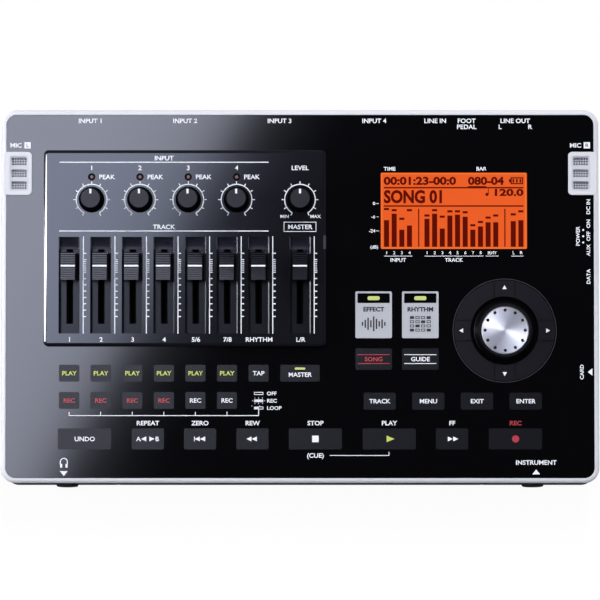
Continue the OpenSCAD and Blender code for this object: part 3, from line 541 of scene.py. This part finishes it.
LAMP_SINK = 0.46
white = Print("panel_print_white", white_ink)
lime = Print("panel_print_lime", lime_ink)
red = Print("panel_print_red", red_ink)
dark = Print("panel_print_dark", dark_ink)
pad_rim = Print("panel_print_grey", grey_ink)
mixer = Print("mixer_print", white_ink, MIXER_RISE)
# Painted shade: rings in and round the peak lamps' recesses.
recess_shade = Print("lamp_recess_shade", shade_black, MIXER_RISE - LAMP_SINK)
hole_edge_shade = Print("lamp_hole_edge_shade", shade_black, MIXER_RISE)
# Painted shade: dark bars over the gaps between the cursor pads.
gap_shade = Print("pad_gap_shade", shade_black)


def rear_labels():
    """Names of the rear jacks along the panel's far edge."""
    row, second_row = 75.6, 73.0
    input_x, line_in_x, pedal_x, line_out_x = (-90.2, -49.5, -8.8, 31.95), 58.2, 71.7, 92.6
    left_x, right_x = 86.1, 99.0
    for number, x in enumerate(input_x, 1):
        white.words(f"INPUT {number}", x, row, LABEL)
    white.words("LINE IN", line_in_x, row, LABEL)
    white.words("FOOT", pedal_x, row, LABEL)
    white.words("PEDAL", pedal_x, second_row, LABEL)
    white.words("LINE OUT", line_out_x, row, LABEL)
    white.words("L", left_x, second_row, LABEL)
    white.words("R", right_x, second_row, LABEL)


def edge_labels():
    """Marks for the microphones, the right side's sockets and the front jacks."""
    mic_y, tag = 65.0, 2.7
    for letter, word_x, tag_x in (("L", -122.3, -117.3), ("R", 118.6, 123.5)):
        white.words("MIC", word_x, mic_y, LABEL)
        white.bar(tag_x, mic_y, tag, tag)
        dark.words(letter, tag_x, mic_y, SMALL)
    side_x, power_x, power_y, dot_x, dot_step, dot_r = 124.0, 119.5, 25.8, 121.8, 2.7, 0.42
    for word, y in (("DC IN", 38.5), ("ON", 31.2), ("OFF", power_y), ("AUX", 19.8), ("DATA", 8.4)):
        white.words(word, side_x, y, SMALL, 90)
    white.words("POWER", power_x, power_y, SMALL, 90)
    for step in (-1, 0, 1):
        white.disc(dot_x, power_y + dot_step * step, dot_r, sides=12)
    card_x, card_y, card_arrow_x, card_arrow_size = 121.0, -32.6, 124.9, (2.0, 3.2)
    white.words("CARD", card_x, card_y, SMALL, 90)
    white.arrow(card_arrow_x, card_y, *card_arrow_size, 180)
    phones_x, instrument_x, instrument_y = -101.3, 101.3, -71.4
    front_arrow_y, front_arrow_size = -75.8, (2.1, 3.4)
    for x, turn in ((phones_x, -90), (instrument_x, 90)):
        white.arrow(x, front_arrow_y, *front_arrow_size, turn)
    white.words("INSTRUMENT", instrument_x, instrument_y, LABEL)
    headband_y, headband_r, line, stem = -71.1, 1.5, 0.4, 1.0
    ear_x, ear_drop, ear_size = 1.15, 1.7, (0.9, 1.6)
    white.arc(phones_x, headband_y, headband_r, line, 0, 180, steps=16)
    for side in SIDES:
        white.bar(phones_x + side * headband_r, headband_y - stem / 2, line, stem)
        white.bar(phones_x + side * ear_x, headband_y - ear_drop, *ear_size)


def knob_marks():
    """Ring, ticks, name, and painted shade in and round the peak lamp's recess, of each knob."""
    ring_r, ring_line, ring_start, ring_end = 6.6, 0.46, -60, 240
    tick_r, tick_long, tick_line, tick_turn = 7.3, 1.2, 0.4, 30
    name_y, lamp_y, peak_shift = 55.1, 51.2, 6.5
    rim_r, rim_line, edge_r, edge_line, round_steps = 1.05, 0.64, 1.5, 0.2, 32
    for number, at in enumerate(knob_at, 1):
        mixer.arc(at.x, at.y, ring_r, ring_line, ring_start, ring_end)
        for turn in range(ring_start, ring_end + 1, tick_turn):
            out = Vector((math.cos(math.radians(turn)), math.sin(math.radians(turn)))) * tick_r
            mixer.bar(at.x + out.x, at.y + out.y, tick_long, tick_line, turn)
        mixer.words(str(number) if number <= INPUTS else "LEVEL", at.x, name_y, LABEL)
        if number <= INPUTS:
            mixer.words("PEAK", at.x + peak_shift, lamp_y, LABEL)
            # Painted shade: a dark ring on each lamp recess's floor and another round the hole's edge.
            recess_shade.arc(at.x, lamp_y, rim_r, rim_line, 0, 360, round_steps)
            hole_edge_shade.arc(at.x, lamp_y, edge_r, edge_line, 0, 360, round_steps)


def fader_scales():
    """Line, ticks and name beside each fader."""
    scale_top, scale_low, scale_shift, line = 25.6, -16.2, 6.1, 0.4
    first_tick, tick_step, ticks, fine_steps = 18.3, 2.71, 11, 3
    tick_shift, tick_long, tick_line, fine_line = 0.65, 1.25, 0.48, 0.42
    name_shift, name_y = 0.25, -18.7
    names = ("1", "2", "3", "4", "5/6", "7/8", "RHYTHM", "L/R")
    for x, name in zip(fader_x, names):
        scale_x = x + scale_shift
        tick_x = scale_x + tick_shift
        mixer.bar(scale_x, (scale_top + scale_low) / 2, line, scale_top - scale_low)
        for step in range(ticks):
            mixer.bar(tick_x, first_tick - step * tick_step, tick_long, tick_line)
        for step in range(1, 2 * fine_steps):
            mixer.bar(tick_x, first_tick - tick_step * (1 + step / fine_steps), tick_long, fine_line)
        mixer.words(name, x + name_shift, name_y, LABEL)


def mixer_headers():
    """Names and lines over the knobs and faders, and the master's border."""
    header_x, header_wide, line = -58.45, 89.9, 0.4
    for word, word_y, line_y in (("INPUT", 59.3, 57.5), ("TRACK", 29.7, 27.9)):
        mixer.words(word, header_x, word_y, LABEL)
        mixer.bar(header_x, line_y, header_wide, line)
    limit_y, master_y = 34.2, 29.7
    border_size, border_line = (14.0, 4.3), 0.28
    for word, x in (("MIN", -6.6), ("MAX", 6.6)):
        mixer.words(word, x, limit_y, TINY)
    mixer.outline(0, master_y, *border_size, border_line)
    mixer.words("MASTER", 0, master_y, LABEL)


TRACK_X0 = -99.1
TRACK_PITCH = 13.55
TRACKS = 6
PLAY_ROW = -33.1
REC_ROW = -44.8
LEGEND_X = -17.75


def track_keys():
    """Words on the play and record keys of the tracks, and the bracket under them."""
    columns = [TRACK_X0 + k * TRACK_PITCH for k in range(TRACKS)]
    master_drop = 0.6
    for k, x in enumerate(columns):
        lime.words("PLAY", x, PLAY_ROW, KEY_LETTER)
        (red if k < INPUTS else white).words("REC", x, REC_ROW, KEY_LETTER)
    white.words("TAP", TRACK_X0 + TRACKS * TRACK_PITCH, PLAY_ROW, KEY_LETTER)
    white.words("MASTER", 0, PLAY_ROW - master_drop, KEY_LETTER)
    bracket_y, line, tick, legend_low = -51.3, 0.32, 1.6, -48.64
    white.bar((columns[0] + LEGEND_X) / 2, bracket_y, LEGEND_X - columns[0], line)
    for x in columns:
        white.bar(x, bracket_y + tick / 2, line, tick)
    white.bar(LEGEND_X, (bracket_y + legend_low) / 2, line, legend_low - bracket_y)


def lamp_legend():
    """Three small lamps that show what a key's light means: off, steady and blinking."""
    off_row, row_step, word_shift = -41.8, 3.12, 3.5
    pill_wide, pill_deep, pill_line = 4.0, 1.2, 0.26
    for k, word in enumerate(("OFF", "REC", "LOOP")):
        y = off_row - k * row_step
        white.words(word, LEGEND_X + word_shift, y, SMALL, align="LEFT")
        white.outline(LEGEND_X, y, pill_wide, pill_deep, pill_line)
    lit_row, half_row = off_row - row_step, off_row - 2 * row_step
    white.bar(LEGEND_X, lit_row, pill_wide, pill_deep)
    white.bar(LEGEND_X - pill_wide / 4, half_row, pill_wide / 2, pill_deep)
    ray, ray_line, ray_pitch, ray_rise, ray_side = 0.5, 0.22, 1.6, 1.15, 2.6
    short_ray, short_shift, short_apart, short_rise = 0.4, 1.2, 1.7, 0.9
    for side in SIDES:
        for k in (-1, 0, 1):
            white.bar(LEGEND_X + ray_pitch * k, lit_row + side * ray_rise, ray_line, ray)
        white.bar(LEGEND_X + side * ray_side, lit_row, ray, ray_line)
        white.bar(LEGEND_X - short_shift + side * short_apart, half_row + short_rise, ray_line, short_ray)


def transport_keys():
    """Symbols on the wide lower keys and the words above them."""
    label_row, row = -54.5, -61.3
    undo_x, repeat_x, zero_x, back_x = -92.4, -65.3, -42.9, -20.4
    stop_x, play_x, forward_x, record_x = 6.6, 38.3, 65.3, 92.5
    white.words("UNDO", undo_x, row, LABEL)
    for word, x in (("REPEAT", repeat_x), ("ZERO", zero_x), ("REW", back_x), ("STOP", stop_x),
                    ("PLAY", play_x), ("FF", forward_x)):
        white.words(word, x, label_row, LABEL)
    red.words("REC", record_x, label_row, LABEL)
    mark, wide, apart = 2.2, 2.1, 1.15
    letter_shift, repeat_shift, zero_shift, stop_line_shift, stop_line = 4.0, 1.4, 0.3, 2.4, 0.35
    for side, letter, turn in ((-1, "A", 180), (1, "B", 0)):
        white.words(letter, repeat_x + side * letter_shift, row, LABEL)
        white.arrow(repeat_x + side * repeat_shift, row, mark, wide, turn)
    white.bar(zero_x - stop_line_shift, row, stop_line, wide)
    for side in SIDES:
        white.arrow(zero_x + zero_shift + apart * side, row, mark, wide, 180)
        white.arrow(back_x + apart * side, row, mark, wide, 180)
        white.arrow(forward_x + apart * side, row, mark, wide)
    stop_wide, play_long, dot_r = 2.8, 3.4, 1.55
    white.bar(stop_x, row, stop_wide, stop_wide)
    lime.arrow(play_x, row, play_long, stop_wide)
    red.disc(record_x, row, dot_r)
    cue_y, cue_half, line, hook = -68.4, 6.2, 0.3, 1.5
    white.words("(CUE)", stop_x, cue_y, LABEL)
    white.bar((stop_x + cue_half + play_x) / 2, cue_y, play_x - stop_x - cue_half, line)
    white.bar(play_x - line / 2, cue_y + hook / 2, line, hook)


def menu_keys():
    """Words on the menu and select keys, and the marks on the two light mode plates."""
    menu_row, menu_x, menu_pitch = -45.1, 34.2, 20.9
    for k, word in enumerate(("TRACK", "MENU", "EXIT", "ENTER")):
        white.words(word, menu_x + menu_pitch * k, menu_row, KEY_LETTER)
    effect_x, rhythm_x = 31.65, 51.7
    select_row, line_rise, line_long, line = -27.05, 1.9, 13.8, 0.3
    for word_print, word, x in ((red, "SONG", effect_x), (white, "GUIDE", rhythm_x)):
        word_print.words(word, x, select_row, KEY_LETTER)
        for side in SIDES:
            word_print.bar(x, select_row + side * line_rise, line_long, line)
    word_y, mark_y = -5.6, -11.9
    for word, x in (("EFFECT", effect_x), ("RHYTHM", rhythm_x)):
        dark.words(word, x, word_y, KEY_LETTER, bold=HEAVY)
    wave, wave_pitch, wave_line = (1.6, 3.4, 5.2, 3.0, 6.4, 4.4, 2.4, 3.8, 1.6), 1.2, 0.62
    for k, height in enumerate(wave):
        dark.bar(effect_x + (k - len(wave) // 2) * wave_pitch, mark_y, wave_line, height)
    grid, cell_wide, cell_deep, cell_line, cell_x, cell_y = 4, 1.8, 1.2, 0.3, 2.4, 1.8
    for row in range(grid):
        for column in range(grid):
            x = rhythm_x + (column - (grid - 1) / 2) * cell_x
            y = mark_y + (row - (grid - 1) / 2) * cell_y
            if (row + 2 * column) % 3 == 0:
                dark.bar(x, y, cell_wide, cell_deep)
            else:
                dark.outline(x, y, cell_wide, cell_deep, cell_line)


def cursor_ring():
    """Arrows on the pads round the dial, painted shade over the gaps between them and the ring's thin rim."""
    arrow_r, arrow_long, arrow_wide = 18.4, 1.7, 1.9
    for turn in (0, 90, 180, 270):
        out = Vector((math.cos(math.radians(turn)), math.sin(math.radians(turn)))) * arrow_r
        white.arrow(dial_mm.x + out.x, dial_mm.y + out.y, arrow_long, arrow_wide, turn)
    rim_r, rim_line = 22.2, 0.3
    pad_rim.arc(dial_mm.x, dial_mm.y, rim_r, rim_line, 0, 360, steps=96)
    split, inner, outer, seam_line = 4.4, 14.2, 21.2, 0.42
    # Painted shade: dark bars laid over the gaps between the pads.
    for side in SIDES:
        for end in SIDES:
            far = end * (inner + outer) / 2
            gap_shade.bar(dial_mm.x + side * split, dial_mm.y + far, seam_line, outer - inner)
            gap_shade.bar(dial_mm.x + far, dial_mm.y + side * split, outer - inner, seam_line)


METER_PITCH = 3.29
METER_WIDE = 2.2
INPUT_METERS = [37.25 + METER_PITCH * k for k in range(INPUTS)]
TRACK_METERS = [54.65 + METER_PITCH * k for k in range(10)]
MASTER_METERS = [91.8 + METER_PITCH * k for k in range(2)]


def display_labels():
    """Names and level scale round the display."""
    title_y = 54.9
    for word, x in (("TIME", 38.6), ("BAR", 78.0)):
        white.words(word, x, title_y, SMALL)
    level_x, tick_x, tick_long, tick_line = 32.4, 33.4, 1.1, 0.25
    for word, y in (("0", 39.9), ("-6", 34.2), ("-24", 28.1)):
        white.words(word, level_x, y, TINY, align="RIGHT")
        white.bar(tick_x, y, tick_long, tick_line)
    unit_x, unit_y = 33.7, 21.2
    white.words("(dB)", unit_x, unit_y, TINY, align="RIGHT")
    tracks, rhythm = TRACK_METERS[:8], TRACK_METERS[8:]
    number_y, line_y, word_y, under_line = 18.7, 17.25, 15.6, 0.24
    for letters, places in (("1234", INPUT_METERS), ("12345678", tracks), ("LR", MASTER_METERS)):
        for letter, x in zip(letters, places):
            white.words(letter, x, number_y, METER_LETTER)
    for places in (INPUT_METERS, tracks, rhythm, MASTER_METERS):
        white.bar((places[0] + places[-1]) / 2, line_y, places[-1] - places[0] + METER_WIDE, under_line)
    white.words("INPUT", (INPUT_METERS[0] + INPUT_METERS[-1]) / 2, word_y, SMALL)
    white.words("TRACK", (tracks[0] + tracks[-1]) / 2, word_y, SMALL)
    white.words("RHY", (rhythm[0] + rhythm[-1]) / 2, number_y, METER_LETTER)


CELL_LEVEL = -1.2


def display_border():
    """Brighter edge of the display's cell."""
    inset, line = 0.2, 0.55
    edge = Print("display_border", display_edge, CELL_LEVEL - INK / 2)
    low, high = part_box("display_window")
    wide = (high.x - low.x) / MM
    deep = (high.y - low.y) / MM / math.cos(slope)
    edge.outline(display_mm.x, display_mm.y, wide - inset, deep - inset, line)
    edge.done()


def display_words(drawn):
    """Time, bar, song, tempo and battery mark in the display's upper half."""
    left, right, bar_x = 36.1, 96.2, 72.4
    top_row, title_row, tempo_row = 49.8, 43.0, 44.8
    time_high, title_high, tempo_high = 3.2, 5.2, 2.8
    drawn.words("00:01:23-00:0", left, top_row, time_high, align="LEFT", stretch=1.24, bold=HEAVY)
    drawn.words("080-04", bar_x, top_row, time_high, align="LEFT", stretch=1.19, bold=HEAVY)
    cursor_x, cursor_y, cursor_size = 76.3, 47.3, (7.8, 0.4)
    drawn.bar(cursor_x, cursor_y, *cursor_size)
    battery_x, battery_size, battery_line = 93.4, (5.4, 3.0), 0.5
    tip_shift, tip_size, charge_pitch, charge_size = 3.0, (0.7, 1.5), 1.5, (0.75, 1.6)
    drawn.outline(battery_x, top_row, *battery_size, battery_line)
    drawn.bar(battery_x - tip_shift, top_row, *tip_size)
    for k in (-1, 0, 1):
        drawn.bar(battery_x + charge_pitch * k, top_row, *charge_size)
    rule_line = 0.6
    for rule_y in (46.8, 38.9):
        drawn.bar((left + right) / 2, rule_y, right - left, rule_line)
    drawn.words("SONG 01", left, title_row, title_high, align="LEFT", stretch=0.86, bold=HEAVY)
    drawn.words("120.0", right, tempo_row, tempo_high, align="RIGHT", stretch=1.5, bold=HEAVY)
    note_x, note_r, note_drop = 80.5, 0.7, 0.9
    stem_shift, stem_rise, stem_size = 0.6, 0.3, (0.3, 2.6)
    drawn.disc(note_x, tempo_row - note_drop, note_r, sides=10)
    drawn.bar(note_x + stem_shift, tempo_row + stem_rise, *stem_size)


def display_meters(drawn):
    """Level bars with their held peaks in the display's lower half."""
    base, divider_high, divider_line, peak_line = 21.3, 16.4, 0.5, 0.95
    for x in (51.1, 88.2):
        drawn.bar(x, base + divider_high / 2, divider_line, divider_high)
    levels = (11.5, 14.3, 7.4, 9.2, 12.1, 14.3, 7.9, 13.5, 13.9, 13.0, 7.4, 8.8, 10.6, 10.6, 11.1, 11.5)
    peaks = (16.3, 15.8, 12.1, 15.8, 13.5, 15.8, 13.0, 15.3, 15.3, 14.9, 9.3, 10.7, 12.6, 13.5, 14.0, 15.3)
    for x, level, peak in zip(INPUT_METERS + TRACK_METERS + MASTER_METERS, levels, peaks):
        drawn.bar(x, base + level / 2, METER_WIDE, level)
        drawn.bar(x, base + peak, METER_WIDE, peak_line)


def display_picture():
    """What the display shows, on its cell and under its window."""
    drawn = Print("display_picture", display_ink, CELL_LEVEL)
    display_words(drawn)
    display_meters(drawn)
    drawn.done()


def fader_lines():
    """White line across each fader cap."""
    hollow, groove, proud, length, width = 1.1, 0.28, 0.16, 6.02, 0.68
    for number, x in zip(FADERS, fader_x):
        line = Print(f"fader_line_{number}", white_ink, CAP_TOP - hollow - groove / 2, f"fader_{number}")
        line.bar(x, FADER_REST_Y, length, width, thick=groove + proud)
        line.done()


def knob_pointers():
    """White pointer let into each knob's top."""
    pocket, below, width, length, forward = 0.3, 0.04, 0.9, 1.95, 2.95
    for number, at in zip(KNOBS, knob_at):
        pointer = Print(f"knob_pointer_{number}", white_ink, KNOB_TOP - pocket / 2, f"knob_{number}")
        pointer.bar(at.x, at.y + forward, width, length, thick=pocket - below)
        pointer.done()


def rear_ring(name, axis, start_y, material, inner, outer, depth):
    """Ring in millimetres round a rear jack's axis, standing back from its start."""
    shape = bmesh.new()
    corners = [(r * MM, z * MM) for r, z in ((inner, 0), (outer, 0), (outer, depth), (inner, depth))]
    spin_section(shape, corners, Matrix(), (0, 0, 0), math.tau, 40)
    place = Matrix.Translation((axis.x, start_y, axis.z)) @ Matrix.Rotation(math.radians(-90), 4, "X")
    bmesh.ops.transform(shape, matrix=place, verts=shape.verts)
    piece(name, shape, material, "chassis")


def socket_trim():
    """Coloured collars and end insulators of the line outputs."""
    wall_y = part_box("input_jacks")[1].y
    end_recess = 0.4
    end_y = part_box("line_out_jacks")[1].y - end_recess * MM
    for side, material in (("left", white_insulator), ("right", red_insulator)):
        axis = Vector(mounts[f"line_out_{side}"]["pos_m"])
        rear_ring(f"line_out_collar_{side}", axis, wall_y, material, inner=4.3, outer=5.1, depth=0.5)
        rear_ring(f"line_out_face_{side}", axis, end_y, material, inner=1.75, outer=3.25, depth=0.36)


rear_labels()
edge_labels()
knob_marks()
fader_scales()
mixer_headers()
track_keys()
lamp_legend()
transport_keys()
menu_keys()
cursor_ring()
display_labels()
for gathered in (white, lime, red, dark, pad_rim, mixer, recess_shade, hole_edge_shade, gap_shade):
    gathered.done()
display_border()
display_picture()
fader_lines()
knob_pointers()
socket_trim()

# Camera: over the front of the panel, a little beyond its normal
IMAGE_PX = 600
PX_PER_MM = 2.327
CAMERA_FAR = 1.5
CAMERA_LEAN = math.radians(7.4)
AIM_Y = -1.65
aim = PANEL @ Vector((0, AIM_Y, 0))
toward = Vector((0, -math.sin(CAMERA_LEAN), math.cos(CAMERA_LEAN)))
camera_data = bpy.data.cameras.new("camera")
camera_data.sensor_width = 36
camera_data.lens = camera_data.sensor_width * PX_PER_MM / MM * CAMERA_FAR / IMAGE_PX
camera_data.clip_start = 0.01
camera = bpy.data.objects.new("camera", camera_data)
camera.location = aim + CAMERA_FAR * toward
camera.rotation_euler = toward.to_track_quat("Z", "Y").to_euler()
bpy.context.scene.collection.objects.link(camera)
bpy.context.scene.camera = camera
bpy.context.scene.view_settings.view_transform = "Standard"


def floor():
    """Pale floor that shows near white, takes the object's shadow and throws back little light."""
    made = finish("floor")
    half_width, thrown, pale, glow_share = 6, 0.2, 0.9, 0.95
    seen = made.node("ShaderNodeLightPath", output="Is Camera Ray")
    paper = made.matt(made.blend(seen, grey(thrown), grey(pale)))
    shape = bmesh.new()
    bmesh.ops.create_grid(shape, x_segments=1, y_segments=1, size=half_width)
    meshed("floor", shape, made.either(seen * glow_share, paper, made.glow(WHITE, 1.0)))


def mirrored(x, y, height):
    """Where the camera sees a level card in the panel, for a panel point in millimetres."""
    point = PANEL @ Vector((x, y, 0))
    normal = (PANEL.to_3x3() @ Vector((0, 0, 1))).normalized()
    sight = (point - camera.location).normalized()
    bounced = sight - 2 * sight.dot(normal) * normal
    return point + bounced * ((height - point.z) / bounced.z)


def card(name, place, wide, deep, material):
    """Light card that the camera doesn't see; it starts at its place and runs along X."""
    shape = bmesh.new()
    bmesh.ops.create_grid(shape, x_segments=1, y_segments=1, size=0.5)
    size = Matrix.Diagonal((wide, deep, 1, 1)) @ Matrix.Translation((0.5, 0, 0))
    bmesh.ops.transform(shape, matrix=size, verts=shape.verts)
    made = meshed(name, shape, material)
    made.matrix_world = place
    made.visible_camera = False
    return made


def soft_box():
    """Card over the left, whose soft edge the panel mirrors from corner to corner."""
    height, wide, deep, strength = 1.9, 0.52, 1.1, 9.0
    rear_end, front_end = (-27.6, 71), (-101.9, -72.6)
    rear, front = mirrored(*rear_end, height), mirrored(*front_end, height)
    edge = (front - rear).normalized()
    across = Vector((edge.y, -edge.x, 0))
    across = across if across.x < 0 else -across
    steepest = 0.167
    fade = ((0.0, 0.0), (0.065, 0.013), (0.105, 0.042), (0.126, 0.075), (0.146, 0.14),
            (steepest, 0.28), (0.187, 0.455), (0.207, 0.6), (0.227, 0.68), (0.25, 0.75),
            (0.29, 0.82), (0.4, 0.91), (1.0, 1.0))
    tint = (0.77, 0.81, 1.0)
    stops = [(at, (*(share * level for level in tint), 1)) for at, share in fade]
    made = finish("soft_box")
    ramp = made.node("ShaderNodeValToRGB", {"stops": stops}, {0: made.axis("X") * (1 / wide)})
    start = (rear + front) / 2 - steepest * wide * across
    turned = across.to_track_quat("X", "Z").to_matrix().to_4x4()
    place = Matrix.Translation(start) @ turned
    card("soft_box", place, wide, deep, made.shown_as(made.glow(ramp, strength)))


def strip(name, high, low, deep, strength, gloss=False):
    """Card that hangs from a high to a low point; it lights gloss alone or matt surfaces alone."""
    made = finish(name)
    down, level = (low - high).normalized(), Vector((-low.y, low.x, 0)).normalized()
    turned = Matrix((down, level, down.cross(level))).transposed().to_4x4()
    glow = made.shown_as(made.glow((0.97, 0.98, 1, 1), strength))
    hung = card(name, Matrix.Translation(high) @ turned, (low - high).length, deep, glow)
    hung.visible_glossy = gloss
    hung.visible_diffuse = not gloss


def side_cards():
    """A slim slanting strip at the left for the gloss, and low cards at three sides for the matt paint."""
    high_end, low_end = Vector((-0.8, 0, 1.85)), Vector((-1.7, 0, 0.95))
    strip("edge_strip", high_end, low_end, deep=0.12, strength=44.0, gloss=True)
    far, top, low, wide = 1.2, 0.75, 0.05, 1.0
    for name, x, y, strength in (("left_card", -far, 0, 8.2), ("right_card", far, 0, 2.6),
                                 ("front_card", 0, -far, 0.9)):
        strip(name, Vector((x, y, top)), Vector((x, y, low)), wide, strength)


def overhead_lamp():
    """Soft lamp over the rear, aimed at the middle, that leaves no mirror image on the panel."""
    data = bpy.data.lights.new("overhead", "AREA")
    data.energy = 32.0
    data.size = 1.0
    made = bpy.data.objects.new("overhead", data)
    made.location = (0.35, 1.3, 1.6)
    made.rotation_euler = made.location.to_track_quat("Z", "Y").to_euler()
    made.visible_glossy = False
    bpy.context.scene.collection.objects.link(made)


def surroundings():
    """Pale walls at the sides and rear, dark at the front and overhead."""
    made = Finish(bpy.data.worlds.new("studio"))
    dim, front_share, strength = (0.02, 0.02, 0.022, 1), 0.7, 0.45
    toward_wall = made.node("ShaderNodeTexCoord", output="Generated")
    stops = [(0.0, WHITE), (0.3, WHITE), (0.65, dim), (1.0, dim)]
    walls = made.node("ShaderNodeValToRGB", {"stops": stops}, {0: made.part_of(toward_wall, "Z")})
    walls = made.blend(made.part_of(toward_wall, "Y") + front_share, dim, walls)
    light = made.node("ShaderNodeBackground", {}, {"Color": walls, "Strength": strength})
    made.node("ShaderNodeOutputWorld", {}, {"Surface": light})
    bpy.context.scene.world = made.holder


floor()
soft_box()
side_cards()
overhead_lamp()
surroundings()
